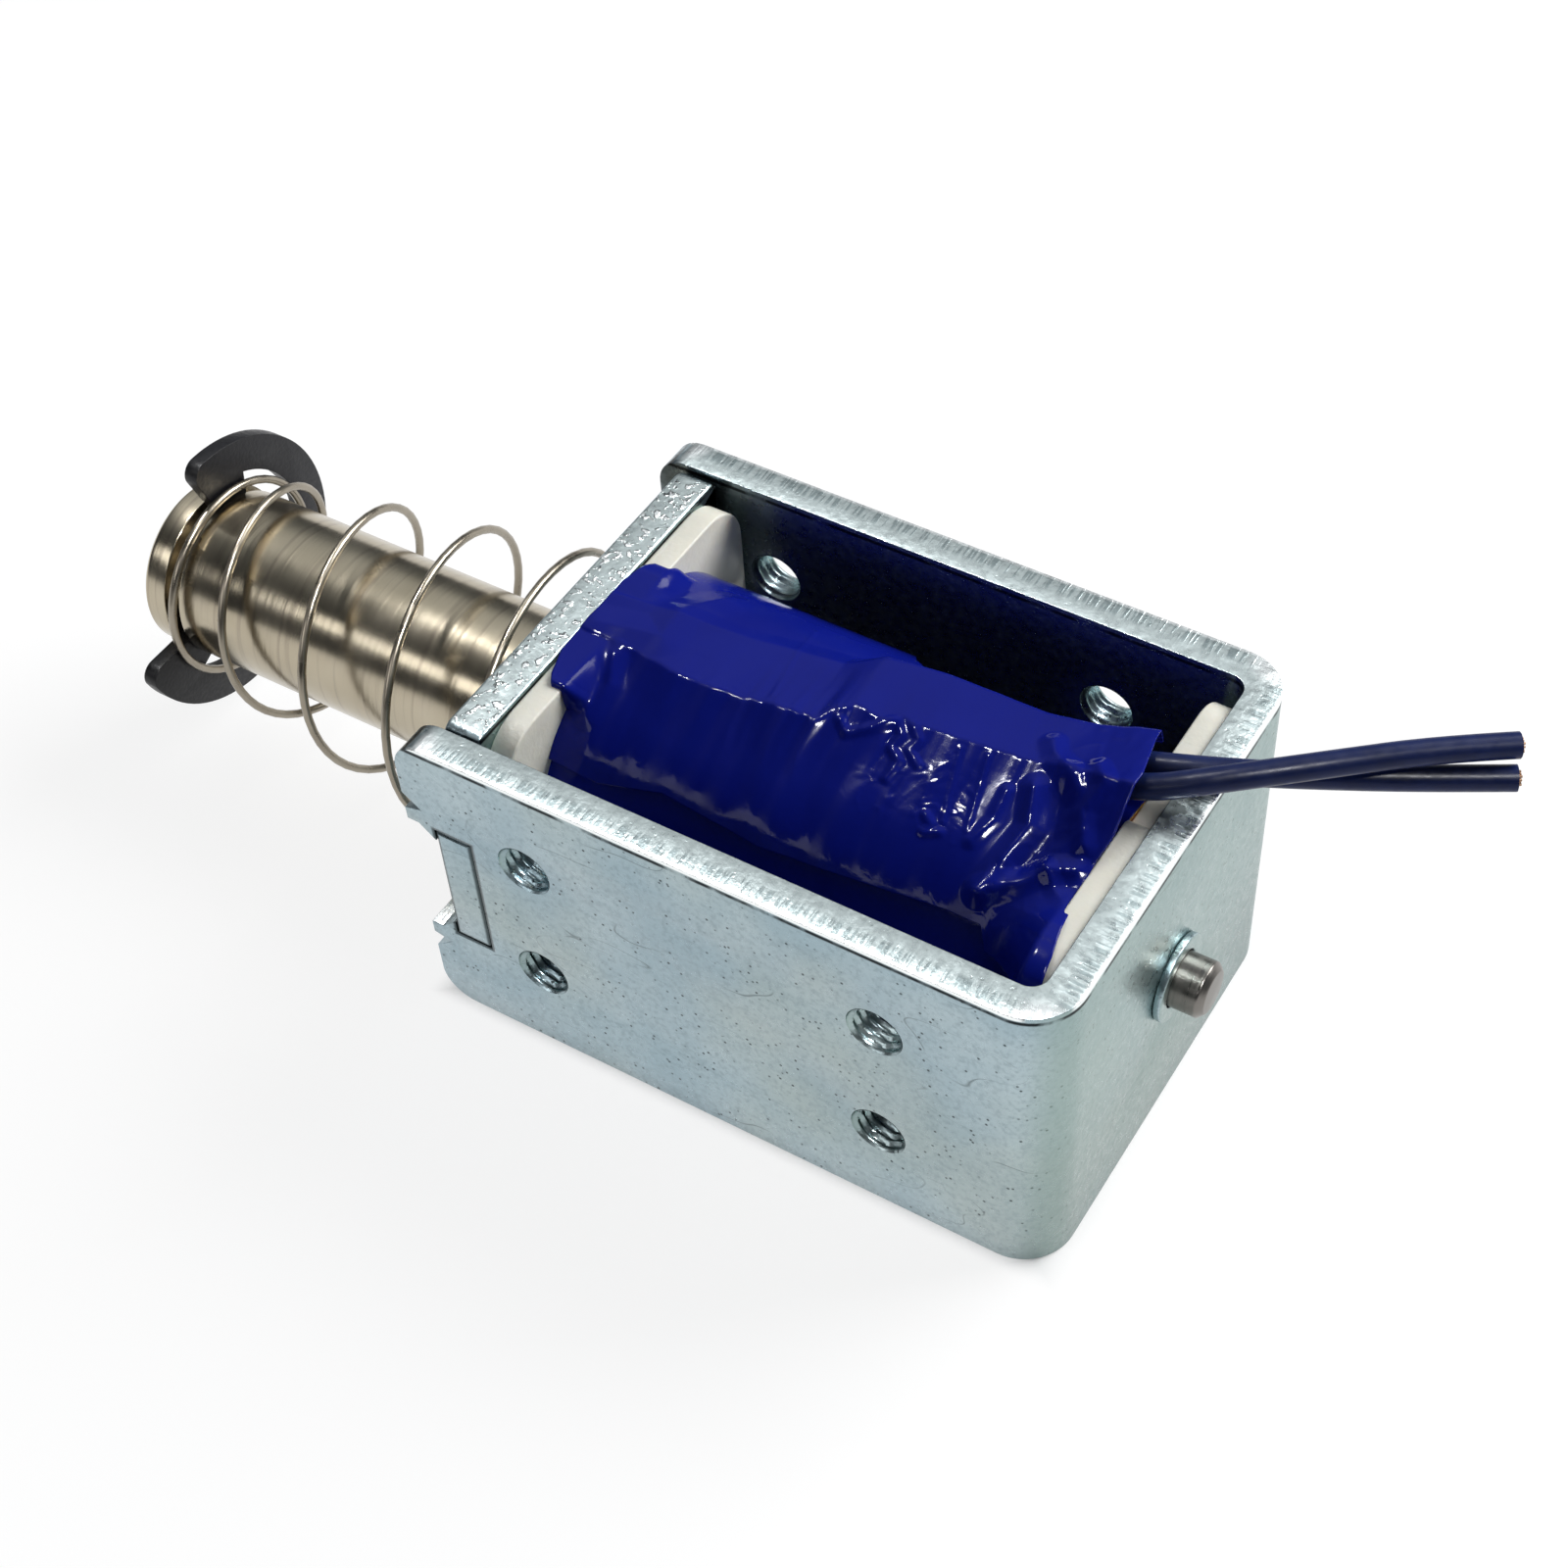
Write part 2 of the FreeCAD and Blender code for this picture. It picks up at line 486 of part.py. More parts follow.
def make_joint_tapes():
    """The backing tape under the joints, and the tape over them with its hump over the leads."""
    backing = new_body("joint_backing")
    ring(backing, "backing_turns", TROUGH_FRONT, COIL_REAR, WRAP_R, BACKING_R)
    keep_sector(backing, "backing_sides", "(sizes.trough_low_angle + sizes.backing_margin)",
                "(sizes.trough_high_angle - sizes.backing_margin)", TROUGH_FRONT)

    cover = new_body("joint_cover")
    ring(cover, "cover_turns", COVER_FRONT, COVER_REAR, TAPE_R, COVER_R)
    keep_sector(cover, "cover_sides", "sizes.cover_low_angle", "sizes.cover_high_angle", COVER_REAR)
    lead_ring = f"({BACKING_R} + sizes.lead_seat + sizes.lead_dia / 2)"
    near_level = f"(sqrt({lead_ring} ^ 2 - sizes.lead_near_y ^ 2) + sizes.lead_dia / 2)"
    far_level = f"(sqrt({lead_ring} ^ 2 - sizes.lead_far_y ^ 2) + sizes.lead_dia / 2)"
    near_side = "(sizes.lead_near_y - sizes.lead_dia / 2 - sizes.tunnel_side)"
    far_side = "(sizes.lead_far_y + sizes.lead_dia / 2 + sizes.tunnel_side)"
    shoulder = "((sizes.lead_near_y + sizes.lead_far_y) / 2)"

    def section(name, place, rise, wall, foot):
        """The outline of the hump at one place along the cover, or of the tunnel in it where the wall is 0."""
        sketch = new_sketch(cover, name, "YZ_Plane", place)
        outline(sketch, [
            (f"{near_side} - {wall}", foot), (f"{far_side} + {wall}", foot),
            (f"{far_side} + {wall}", f"{far_level} + {rise} + {wall}"),
            (shoulder, f"{near_level} + {rise} + {wall}"),
            (f"{near_side} - {wall}", f"{near_level} + {rise} + {wall}"),
        ])
        return sketch

    foot = f"({TAPE_R} * sin(60deg))"
    loft(cover, "AdditiveLoft", "lead_hump", [
        section("hump_front", HUMP_FRONT, "sizes.tunnel_low", "sizes.cover_thick", foot),
        section("hump_rear", COVER_REAR, "sizes.tunnel_high", "sizes.cover_thick", foot),
    ])
    loft(cover, "SubtractiveLoft", "lead_tunnel", [
        section("tunnel_front", TROUGH_FRONT, "sizes.tunnel_low", "0", "0"),
        section("tunnel_rear", COVER_REAR, "sizes.tunnel_high", "0", "0"),
    ])
    bed = new_sketch(cover, "coil_bed", "YZ_Plane", COVER_REAR)
    circle(bed, "0", "0", TAPE_R)
    cut_through(cover, bed, f"4 * ({COVER_REAR} - {COVER_FRONT})")
    return [backing, cover]


def make_fixed_core():
    """The fixed core: a conical seat, a bore for the push pin and an end riveted over the rear wall."""
    body = new_body("fixed_core")
    head_end = f"({REAR} + sizes.rivet_out)"
    spigot, rivet = "(sizes.spigot_dia / 2)", "(sizes.rivet_dia / 2)"
    turned(body, "core_profile", [
        (SEAT_BOTTOM, PIN_BORE_R), (SEAT_BOTTOM, TIP_R), (CORE_FRONT, MOUTH_R), (CORE_FRONT, CORE_R),
        (WALL_FACE, CORE_R), (WALL_FACE, spigot), (REAR, spigot), (REAR, rivet),
        (head_end, rivet), (head_end, PIN_BORE_R),
    ])
    return body


def make_plunger():
    """The plunger: head, clip groove, conical nose and the bore that holds the push pin."""
    body = new_body("plunger")
    groove_end = f"({CLIP_FRONT} + sizes.groove_width)"
    turned(body, "plunger_profile", [
        (HEAD_FACE, "0"), (HEAD_FACE, f"{PLUNGER_R} - sizes.head_chamfer"),
        (f"{HEAD_FACE} + sizes.head_chamfer", PLUNGER_R), (CLIP_FRONT, PLUNGER_R),
        (CLIP_FRONT, GROOVE_R), (groove_end, GROOVE_R), (groove_end, PLUNGER_R),
        (NOSE_BASE, PLUNGER_R), (NOSE_TIP, TIP_R), (NOSE_TIP, PIN_R), (PIN_START, PIN_R), (PIN_START, "0"),
    ])
    return body


def make_push_pin():
    """The push pin, pressed into the plunger's nose and led out through the core."""
    body = new_body("push_pin")
    end = f"({REAR} + sizes.pin_out)"
    turned(body, "pin_profile", [
        (PIN_START, "0"), (PIN_START, PIN_R), (f"{end} - sizes.pin_chamfer", PIN_R),
        (end, f"{PIN_R} - sizes.pin_chamfer"), (end, "0"),
    ])
    return body


def make_e_clip():
    """The E-clip: an open band with three prongs that reach the bottom of the groove."""
    body = new_body("e_clip")
    body.setExpression("Placement.Rotation.Angle", "sizes.clip_turn")
    body.Placement.Rotation.Axis = FreeCAD.Vector(1, 0, 0)
    outer = "(sizes.clip_dia / 2)"
    band = f"({outer} - sizes.clip_band)"
    half_prong = "(sizes.clip_prong / 2)"
    band_sketch = new_sketch(body, "clip_outer_band", "YZ_Plane", CLIP_FRONT)
    circle(band_sketch, "0", "0", outer)
    circle(band_sketch, "0", "0", band)
    pad(body, band_sketch, "sizes.clip_thick")
    root = f"({outer} - sizes.clip_band / 2)"
    prong_angles = ["-90", "(sizes.clip_prong_angle - 90)", "(270 - sizes.clip_prong_angle)"]
    for index, angle in enumerate(prong_angles):
        prong = new_sketch(body, f"clip_prong_{index}", "YZ_Plane", CLIP_FRONT)
        across, up = f"cos({angle} * 1deg)", f"sin({angle} * 1deg)"
        outline(prong, [
            (f"{reach} * {across} {side} {half_prong} * {up}", f"{reach} * {up} {other} {half_prong} * {across}")
            for reach, side, other in (("1", "-", "+"), (root, "-", "+"), (root, "+", "-"), ("1", "+", "-"))
        ])
        pad(body, prong, "sizes.clip_thick")
    seat = new_sketch(body, "clip_seat", "YZ_Plane", CLIP_FRONT)
    circle(seat, "0", "0", GROOVE_R)
    cut_through(body, seat, "4 * sizes.clip_thick")
    mouth = new_sketch(body, "clip_mouth_cut", "YZ_Plane", CLIP_FRONT)
    lip_half = "(sizes.clip_mouth / 2)"
    lip_up = f"({GROOVE_R} / 2)"
    reach = "(sizes.clip_dia * 0.75)"
    wide = f"({lip_half} + ({reach} - {lip_up}) * tan(sizes.clip_flare * 1deg))"
    outline(mouth, [
        (f"-{lip_half}", "0"), (lip_half, "0"), (lip_half, lip_up), (wide, reach),
        (f"-{wide}", reach), (f"-{lip_half}", lip_up),
    ])
    cut_through(body, mouth, "4 * sizes.clip_thick")
    rim = size(outer)
    dress(body, "Fillet", "clip_ends", "Radius", "sizes.clip_round",
          lambda edge: along(edge, 0) and near(math.hypot(edge.CenterOfMass.y, edge.CenterOfMass.z), rim)
          and abs(edge.CenterOfMass.y) > size(lip_half))
    return body


def smooth(value):
    """An S-shaped step from 0 to 1."""
    value = min(max(value, 0.0), 1.0)
    return value * value * (3 - 2 * value)


def new_solid(name, shape, on_axis=True):
    """A sub-part whose shape is made from curves."""
    feature = doc.addObject("Part::Feature", name)
    feature.Label = name
    feature.Shape = shape
    feature.Placement = FreeCAD.Placement()
    if on_axis:
        feature.setExpression("Placement.Base.z", AXIS_Z)
    return feature


def sweep(path, radius):
    """A round bar along a wire."""
    edge = path.OrderedEdges[0]
    start = edge.valueAt(edge.FirstParameter)
    tangent = edge.tangentAt(edge.FirstParameter)
    section = Part.Face(Part.Wire([Part.Circle(start, tangent, radius).toShape()]))
    return path.makePipe(section)


def make_return_spring():
    """The conical return spring, its small end flat on the clip and its large end flat on the plate.

    Its wire runs straight between twelve points a turn, with mitred corners, and has eight sides and the
    area of the round wire.
    """
    wire, flat, ramp = size("sizes.spring_wire"), size("sizes.flat_turns"), size("sizes.ramp_turns")
    sides, steps_per_turn = 8, 12
    corner = wire / 2 * math.sqrt(2 * math.pi / (sides * math.sin(2 * math.pi / sides)))
    seat = corner + size("sizes.spring_seat")
    start = size(CLIP_FRONT) + size("sizes.clip_thick") + seat
    end = size(PLATE_FRONT) - seat
    small = size("sizes.spring_small / 2")
    sag, aside = size("sizes.spring_sag"), size("sizes.spring_aside")
    large = size(f"{AXIS_Z} - sizes.spring_inset") - sag - wire / 2
    turns = 2 * flat + ramp + (end - start) / size("sizes.spring_pitch")
    steps = math.ceil(turns * steps_per_turn)
    rates = []
    for step in range(steps):
        turn = (step + 0.5) / steps * turns
        rates.append(smooth((turn - flat) / ramp) * smooth((turns - flat - turn) / ramp))
    points = []
    done = 0.0
    for step in range(steps + 1):
        share = done / sum(rates)
        radius = (small + (large - small) * share) / math.sqrt(math.cos(math.pi / steps_per_turn))
        angle = 2 * math.pi * (size("sizes.phase_turns") + step / steps * turns)
        place = start + (end - start) * share
        points.append(FreeCAD.Vector(place, aside + radius * math.cos(angle), radius * math.sin(angle) - sag))
        if step < steps:
            done += rates[step]
    heading = (points[1] - points[0]).normalize()
    upright = FreeCAD.Vector(1, 0, 0)
    across = heading.cross(upright).normalize()
    section = Part.makePolygon([
        points[0]
        + across * (corner * math.cos(2 * math.pi * (side + 0.5) / sides))
        + upright * (corner * math.sin(2 * math.pi * (side + 0.5) / sides))
        for side in range(sides + 1)
    ])
    solid = Part.makePolygon(points).makePipeShell([section], True, False, 1)
    return new_solid("return_spring", solid)


def bent_path(points):
    """Straight runs joined by tangent arcs, each as large as its two runs allow."""
    edges = []
    radii = []
    last = points[0]
    for before, corner, after in zip(points, points[1:], points[2:]):
        incoming = corner - before
        outgoing = after - corner
        turn = incoming.getAngle(outgoing)
        cut = 0.45 * min(incoming.Length, outgoing.Length)
        radius = cut / math.tan(turn / 2)
        arc_start = corner - incoming * (cut / incoming.Length)
        arc_end = corner + outgoing * (cut / outgoing.Length)
        bisector = (outgoing * (1 / outgoing.Length) - incoming * (1 / incoming.Length)).normalize()
        middle = corner + bisector * (radius / math.cos(turn / 2) - radius)
        edges.append(Part.LineSegment(last, arc_start).toShape())
        edges.append(Part.Arc(arc_start, middle, arc_end).toShape())
        radii.append(round(radius, 1))
        last = arc_end
    edges.append(Part.LineSegment(last, points[-1]).toShape())
    return Part.Wire(edges), radii


# Route of each lead from its stripped end, which lies on the backing tape, to its cut end in the open: steps
# along the frame, across it and up, all counted from the stripped end.
NEAR_ROUTE = [
    (0, 0, 0), (4.5, 0, 0), (9.1, -0.18, 0.04), (12.5, -0.35, 1.17),
    (15.7, 0.86, 2.42), (20.4, 4.31, 2.82), (24.4, 7.81, 2.62), (27.8, 10.26, 2.42),
]
FAR_ROUTE = [
    (0, 0, 0), (4.4, 0, 0), (8.8, 0.05, 0), (12.5, 0.05, 1.4),
    (16.6, 1.6, 1.57), (20.4, 3.63, 1.4), (24.5, 5.85, 1.32), (28.24, 7.87, 1.42),
]


def lead_points(aside, route):
    """The points of a lead's route; aside is the size that tells how far its start is from the middle plane."""
    across = size(aside)
    ring_radius = size(f"{BACKING_R} + sizes.lead_seat + sizes.lead_dia / 2")
    level = size(AXIS_Z) + math.sqrt(ring_radius ** 2 - across ** 2)
    start = FreeCAD.Vector(size(f"{COIL_REAR} - sizes.lead_start"), across, level)
    return [start + FreeCAD.Vector(*step) for step in route]


def make_lead(name, points):
    """One insulated lead along its route; prints the route, its length and its bend radii."""
    path, radii = bent_path(points)
    radius = size("sizes.lead_dia / 2")
    shape = sweep(path, radius)
    expected = math.pi * radius ** 2 * path.Length
    print(f"{name}: length {path.Length:.2f} mm, bend radii {radii} mm, volume to expected "
          f"{shape.Volume / expected:.4f}")
    print([tuple(round(value, 3) for value in point) for point in points])
    return new_solid(name, shape, on_axis=False)


def make_joint(side, place):
    """The stripped strands of a lead and the solder joint at their end."""
    back = FreeCAD.Vector(-1, 0, 0)
    strands = Part.makeCylinder(size("sizes.strand_dia / 2"), size("sizes.strand_len"), place, back)
    solder_end = place + back * size("sizes.strand_len")
    solder = Part.makeCylinder(size("sizes.solder_dia / 2"), size("sizes.solder_len"), solder_end, back)
    return [
        new_solid(f"{side}_strands", strands, on_axis=False),
        new_solid(f"{side}_solder", solder, on_axis=False),
    ]


def make_magnet_wires(near_start, far_start):
    """The winding's two ends: each leaves its solder joint and dips to the backing tape under it."""
    made = []
    radius = size("sizes.magnet_wire_dia / 2")
    reach = size("sizes.strand_len + sizes.solder_len")
    clear = size("sizes.lead_seat")
    floor = size(BACKING_R) + radius + clear
    trough = size(TROUGH_FRONT) + radius + clear
    for name, start, side in (("magnet_wire_start", near_start, -1), ("magnet_wire_end", far_start, 1)):
        tip = start - FreeCAD.Vector(reach, 0, 0)
        rest_y = tip.y + side * size("sizes.solder_dia") / 3
        rest_z = size(AXIS_Z) + math.sqrt(floor ** 2 - rest_y ** 2) + clear
        run = tip.x - trough
        path = Part.makePolygon([
            tip,
            FreeCAD.Vector(tip.x - run * 0.5, tip.y, tip.z),
            FreeCAD.Vector(trough + radius, rest_y, rest_z),
        ])
        heading = path.Edges[0].tangentAt(0)
        section = Part.Wire([Part.Circle(tip, heading, radius).toShape()])
        made.append(new_solid(name, path.makePipeShell([section], True, False, 1), on_axis=False))
    return made


reader = doc.addObject("Part::Feature", "reader")
parts = [make_u_frame(), make_front_plate(), make_guide_tube(), make_bobbin()]
parts += make_coil()
parts += make_joint_tapes()
parts += [make_fixed_core(), make_plunger(), make_push_pin(), make_e_clip(), make_return_spring()]
near_points = lead_points("sizes.lead_near_y", NEAR_ROUTE)
far_points = lead_points("sizes.lead_far_y", FAR_ROUTE)
parts += [make_lead("near_lead", near_points), make_lead("far_lead", far_points)]
parts += make_joint("near_lead", near_points[0]) + make_joint("far_lead", far_points[0])
parts += make_magnet_wires(near_points[0], far_points[0])
doc.removeObject(reader.Name)
doc.recompute()

for item in doc.Objects:
    if "Invalid" in item.State or "Error" in item.State:
        raise ValueError(f"{item.Name} failed: {item.State}")
for part in parts:
    if part.Shape.isNull() or not part.Shape.isValid():
        raise ValueError(f"{part.Label} has no valid shape")
os.makedirs("parts", exist_ok=True)
for part in parts:
    part.Shape.exportStep(f"parts/{part.Label}.step")
    box = part.Shape.BoundBox
    print(f"{part.Label}: {len(part.Shape.Solids)} solid, volume {part.Shape.Volume:.2f}, "
          f"x {box.XMin:.2f} to {box.XMax:.2f}, y {box.YMin:.2f} to {box.YMax:.2f}, z {box.ZMin:.2f} to {box.ZMax:.2f}")
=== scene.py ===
# %% [markdown]
# # A push pull solenoid
# An electromagnet pulls a steel plunger into a taped coil, and a pin comes out of the other end. The
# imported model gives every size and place. This lesson dresses it: each step says what a piece or a finish
# is on the real object, how it could be made in Blender, and why one way was chosen.

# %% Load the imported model
import math

import bmesh
import bpy
import numpy
from mathutils import Matrix, Quaternion, Vector, noise


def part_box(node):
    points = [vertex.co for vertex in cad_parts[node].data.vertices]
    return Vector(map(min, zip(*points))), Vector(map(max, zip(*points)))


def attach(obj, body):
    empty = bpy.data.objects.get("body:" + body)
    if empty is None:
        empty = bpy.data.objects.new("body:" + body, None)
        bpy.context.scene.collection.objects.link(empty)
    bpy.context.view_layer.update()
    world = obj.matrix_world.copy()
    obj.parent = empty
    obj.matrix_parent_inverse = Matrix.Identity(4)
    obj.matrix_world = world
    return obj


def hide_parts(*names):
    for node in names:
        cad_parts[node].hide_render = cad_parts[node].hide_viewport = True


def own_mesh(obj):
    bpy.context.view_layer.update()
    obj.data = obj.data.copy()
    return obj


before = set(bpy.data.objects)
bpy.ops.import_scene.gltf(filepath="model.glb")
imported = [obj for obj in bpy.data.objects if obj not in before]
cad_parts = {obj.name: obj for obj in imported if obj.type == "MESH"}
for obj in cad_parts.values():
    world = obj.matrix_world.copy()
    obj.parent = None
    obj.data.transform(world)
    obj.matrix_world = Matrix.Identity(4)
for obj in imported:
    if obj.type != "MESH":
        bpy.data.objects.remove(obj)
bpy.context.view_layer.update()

# %% [markdown]
# Blender works in metres, while every size of a small part is thought of in millimetres. So one value turns
# millimetres to metres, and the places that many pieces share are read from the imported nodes.

# %% Shared sizes
MM = 0.001


def span(node, axis):
    """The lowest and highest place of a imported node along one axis, in millimetres."""
    low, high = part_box(node)
    return low["xyz".index(axis)] / MM, high["xyz".index(axis)] / MM


FRONT, REAR = span("u_frame", "x")
HALF_WIDTH = span("u_frame", "y")[1]
HEIGHT = span("u_frame", "z")[1]
AXIS_Z = HEIGHT / 2
SHEET = 2.0
WALL_FACE = REAR - SHEET
COIL_FRONT, COIL_REAR = span("coil_winding", "x")
TAPE_R = span("outer_tape", "z")[1] - AXIS_Z
# half the height of the plate's tabs, which reach out to the faces of the side walls
TAB_HALF = max(vertex.co.z / MM - AXIS_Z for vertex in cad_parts["front_plate"].data.vertices
               if abs(vertex.co.y) / MM > HALF_WIDTH - 0.5)


def in_scene(name, data):
    """A new object, put into the scene."""
    thing = bpy.data.objects.new(name, data)
    bpy.context.scene.collection.objects.link(thing)
    return thing


print(f"frame {REAR - FRONT:.1f} x {2 * HALF_WIDTH:.1f} x {HEIGHT:.1f} mm, tape radius {TAPE_R:.2f} mm, "
      f"tabs {2 * TAB_HALF:.1f} mm high")

# %% [markdown]
# The camera comes first, because everything is judged through it. A camera could be placed by eye, but the
# frame's edges in the picture give its place, its aim and its roll, so those are set as numbers.

# %% Camera
CAMERA_PLACE = Vector((51.14, -79.67, 121.28)) * MM
CAMERA_AIM = Vector((-0.40, 0.58, 10.60)) * MM
CAMERA_ROLL = math.radians(-2.70)
CAMERA_LENS = {"sensor_width": 36.0, "lens": 60.88, "shift_x": -0.0436, "shift_y": 0.0278,
               "clip_start": 0.005, "clip_end": 20.0}

camera = in_scene("camera", bpy.data.cameras.new("camera"))
camera.rotation_mode = "QUATERNION"
look = (CAMERA_AIM - CAMERA_PLACE).to_track_quat("-Z", "Y")
camera.rotation_quaternion = look @ Quaternion((0, 0, 1), CAMERA_ROLL)
camera.location = CAMERA_PLACE
for setting, value in CAMERA_LENS.items():
    setattr(camera.data, setting, value)
bpy.context.scene.camera = camera
bpy.context.scene.view_settings.view_transform = "Standard"
print("camera at", [round(value / MM, 1) for value in camera.location], "mm")

# %% [markdown]
# Colours are written as the hex values that a picture has, and Blender's shaders want linear values. One
# function turns the first into the second. Another adds a shader node with its settings and links, so that
# each finish reads like a recipe: what it is, how large its pattern is, and what feeds it.

# %% Colour and node helpers
def linear(hex_code):
    """An sRGB hex colour as a linear RGBA tuple."""
    channels = [int(hex_code[place:place + 2], 16) / 255 for place in (1, 3, 5)]
    turned = [value / 12.92 if value <= 0.04045 else ((value + 0.055) / 1.055) ** 2.4 for value in channels]
    return (*turned, 1.0)


def per_mm(size):
    """The scale at which one feature of a pattern is about this many millimetres."""
    return 1 / (size * MM)


def add(tree, kind, settings=None, links=None):
    """Adds one shader node.

    Settings are its properties, in small letters, and its input values. Links name the node, or the output
    of a node, that feeds each input.
    """
    node = tree.nodes.new("ShaderNode" + kind)

    def entry(name):
        if isinstance(name, int):
            return node.inputs[name]
        return next(socket for socket in node.inputs if socket.enabled and socket.name == name)

    for name, value in (settings or {}).items():
        if isinstance(name, str) and name[0].islower():
            setattr(node, name, value)
        else:
            entry(name).default_value = value
    for name, source in (links or {}).items():
        if isinstance(source, bpy.types.Node):
            source = next(socket for socket in source.outputs if socket.enabled)
        tree.links.new(source, entry(name))
    return node


def new_finish(name, **values):
    """An empty material: its tree, its shader and the place on the object; values hold all over it."""
    finish = bpy.data.materials.new(name)
    finish.use_nodes = True
    tree = finish.node_tree
    shader = tree.nodes["Principled BSDF"]
    for socket, value in values.items():
        shader.inputs[socket.replace("_", " ")].default_value = value
    return finish, tree, shader, add(tree, "TexCoord").outputs["Object"]


def dress(tree, shader, **sources):
    """Links nodes to the shader's own inputs."""
    for socket, source in sources.items():
        output = next(item for item in source.outputs if item.enabled)
        tree.links.new(output, shader.inputs[socket.replace("_", " ")])


COLOURS = {"data_type": "RGBA"}
SOFT_STEP = {"interpolation_type": "SMOOTHSTEP"}
ABSOLUTE, MAXIMUM, MULTIPLY, SUBTRACT = (
    {"operation": operation} for operation in ("ABSOLUTE", "MAXIMUM", "MULTIPLY", "SUBTRACT"))
print("mid grey turns to", round(linear("#808080")[0], 3))

# %% [markdown]
# Many finishes are alike: two shades, a roughness and a small relief, which all follow the grain of the
# material. One function makes those. A grain is given as the size of its features in millimetres and its
# detail. The sheet, the plunger and the tape have more to them, so they get steps of their own.

# %% Finishes with a plain grain
def grain_finish(name, dark, pale, rough, relief, shade, sheen=None, bumps=None, stretch=(1.0, 1.0, 1.0),
                 **values):
    """A finish between two shades, with roughness from low to high and a relief in millimetres.

    The colour follows the grain shade. Roughness and relief follow sheen and bumps, or else shade too.
    """
    finish, tree, shader, place = new_finish(name, **values)
    stretched = add(tree, "Mapping", {"Scale": stretch}, {"Vector": place})
    shade, sheen, bumps = (
        add(tree, "TexNoise", {"Scale": per_mm(size), "Detail": detail}, {"Vector": stretched})
        for size, detail in (shade, sheen or shade, bumps or shade))
    dress(
        tree, shader,
        Base_Color=add(tree, "Mix", {**COLOURS, "A": linear(dark), "B": linear(pale)}, {"Factor": shade}),
        Roughness=add(tree, "MapRange", {"From Min": 0.3, "From Max": 0.7, "To Min": rough[0],
                                         "To Max": rough[1]}, {"Value": sheen}))
    if relief:
        dress(tree, shader, Normal=add(tree, "Bump", {"Distance": relief * MM}, {"Height": bumps}))
    print("made", name)
    return finish


print("plain finishes have a grain, two shades, a roughness and a relief")

# %% [markdown]
# Leads have PVC insulation, drawn over the strands in one long run, so it is smooth with a soft gloss and
# shows only faint ripples along it. This navy is dark enough that the highlight makes most of its look.

# %% Finish of the leads
insulation = grain_finish("navy_pvc_insulation", "#111b42", "#1c2a5c", (0.3, 0.42), 0.03, (1.3, 2.0),
                          sheen=(0.5, 2.0), IOR=1.53, Specular_IOR_Level=0.16)

# %% [markdown]
# The two leads leave under the tape, cross over the rear wall and end cut off. A tube could be swept in
# mesh code, but a NURBS curve with a round bevel is what a wire is: a few control points and one smooth
# line. The points are those of the model's own route.

# %% Leads
LEAD_DIAMETER = 1.4
LEAD_ROUTES = {
    "near_lead": [
        (3.9, 1.8, 20.975), (8.4, 1.8, 20.975), (13.0, 1.62, 21.015), (16.4, 1.45, 22.145),
        (19.6, 2.66, 23.395), (24.3, 6.11, 23.795), (28.3, 9.61, 23.595), (31.7, 12.06, 23.395),
    ],
    "far_lead": [
        (3.9, 3.35, 20.583), (8.3, 3.35, 20.583), (12.7, 3.4, 20.583), (16.4, 3.4, 21.983),
        (20.5, 4.95, 22.153), (24.3, 6.98, 21.983), (28.4, 9.2, 21.903), (32.14, 11.22, 22.003),
    ],
}


def smooth_line(name, points):
    """A NURBS curve whose control points are a route in millimetres."""
    curve = bpy.data.curves.new(name, "CURVE")
    curve.dimensions = "3D"
    spline = curve.splines.new("NURBS")
    spline.points.add(len(points) - 1)
    for point, place in zip(spline.points, points):
        point.co = (*(Vector(place) * MM), 1.0)
    spline.order_u = 3
    spline.use_endpoint_u = True
    spline.resolution_u = 12
    return curve


def line_points(curve):
    """The points of a curve's own smooth line, in metres."""
    holder = in_scene("line_reader", curve)
    bpy.context.view_layer.update()
    line = bpy.data.meshes.new_from_object(holder.evaluated_get(bpy.context.evaluated_depsgraph_get()))
    points = [vertex.co.copy() for vertex in line.vertices]
    bpy.data.objects.remove(holder)
    bpy.data.meshes.remove(line)
    return points


leads = {}
for node, route in LEAD_ROUTES.items():
    curve = smooth_line(f"{node}_insulation", route)
    line = line_points(curve)
    curve.bevel_depth = LEAD_DIAMETER / 2 * MM
    curve.bevel_resolution = 6
    curve.use_fill_caps = True
    curve.materials.append(insulation)
    lead = in_scene(f"{node}_insulation", curve)
    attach(lead, "frame")
    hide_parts(node)
    length = sum((after - before).length for before, after in zip(line, line[1:]))
    leads[node] = (lead, line, length)
    print(f"{node}: {length / MM:.1f} mm long, {len(route)} control points")

# %% [markdown]
# Most other pieces are meshes made from numbers. These helpers make one from points and faces, give it
# smooth shading with its sharp edges kept, and let it ride on a body of the model.

# %% Mesh helpers
def mesh_from(points, faces):
    """A mesh from points in millimetres."""
    mesh = bpy.data.meshes.new("mesh")
    mesh.from_pydata([Vector(point) * MM for point in points], [], faces)
    mesh.validate()
    return mesh


def grid_faces(rows, columns, first=0, loop=True, flip=False):
    """Faces between rows of points, from a first one on; a loop closes each row, flip turns them over."""
    faces = []
    for low in range(first, first + rows * columns, columns):
        for column in range(columns if loop else columns - 1):
            here, after = low + column, low + (column + 1) % columns
            face = [here, here + columns, after + columns, after]
            faces.append([here, *face[:0:-1]] if flip else face)
    return faces


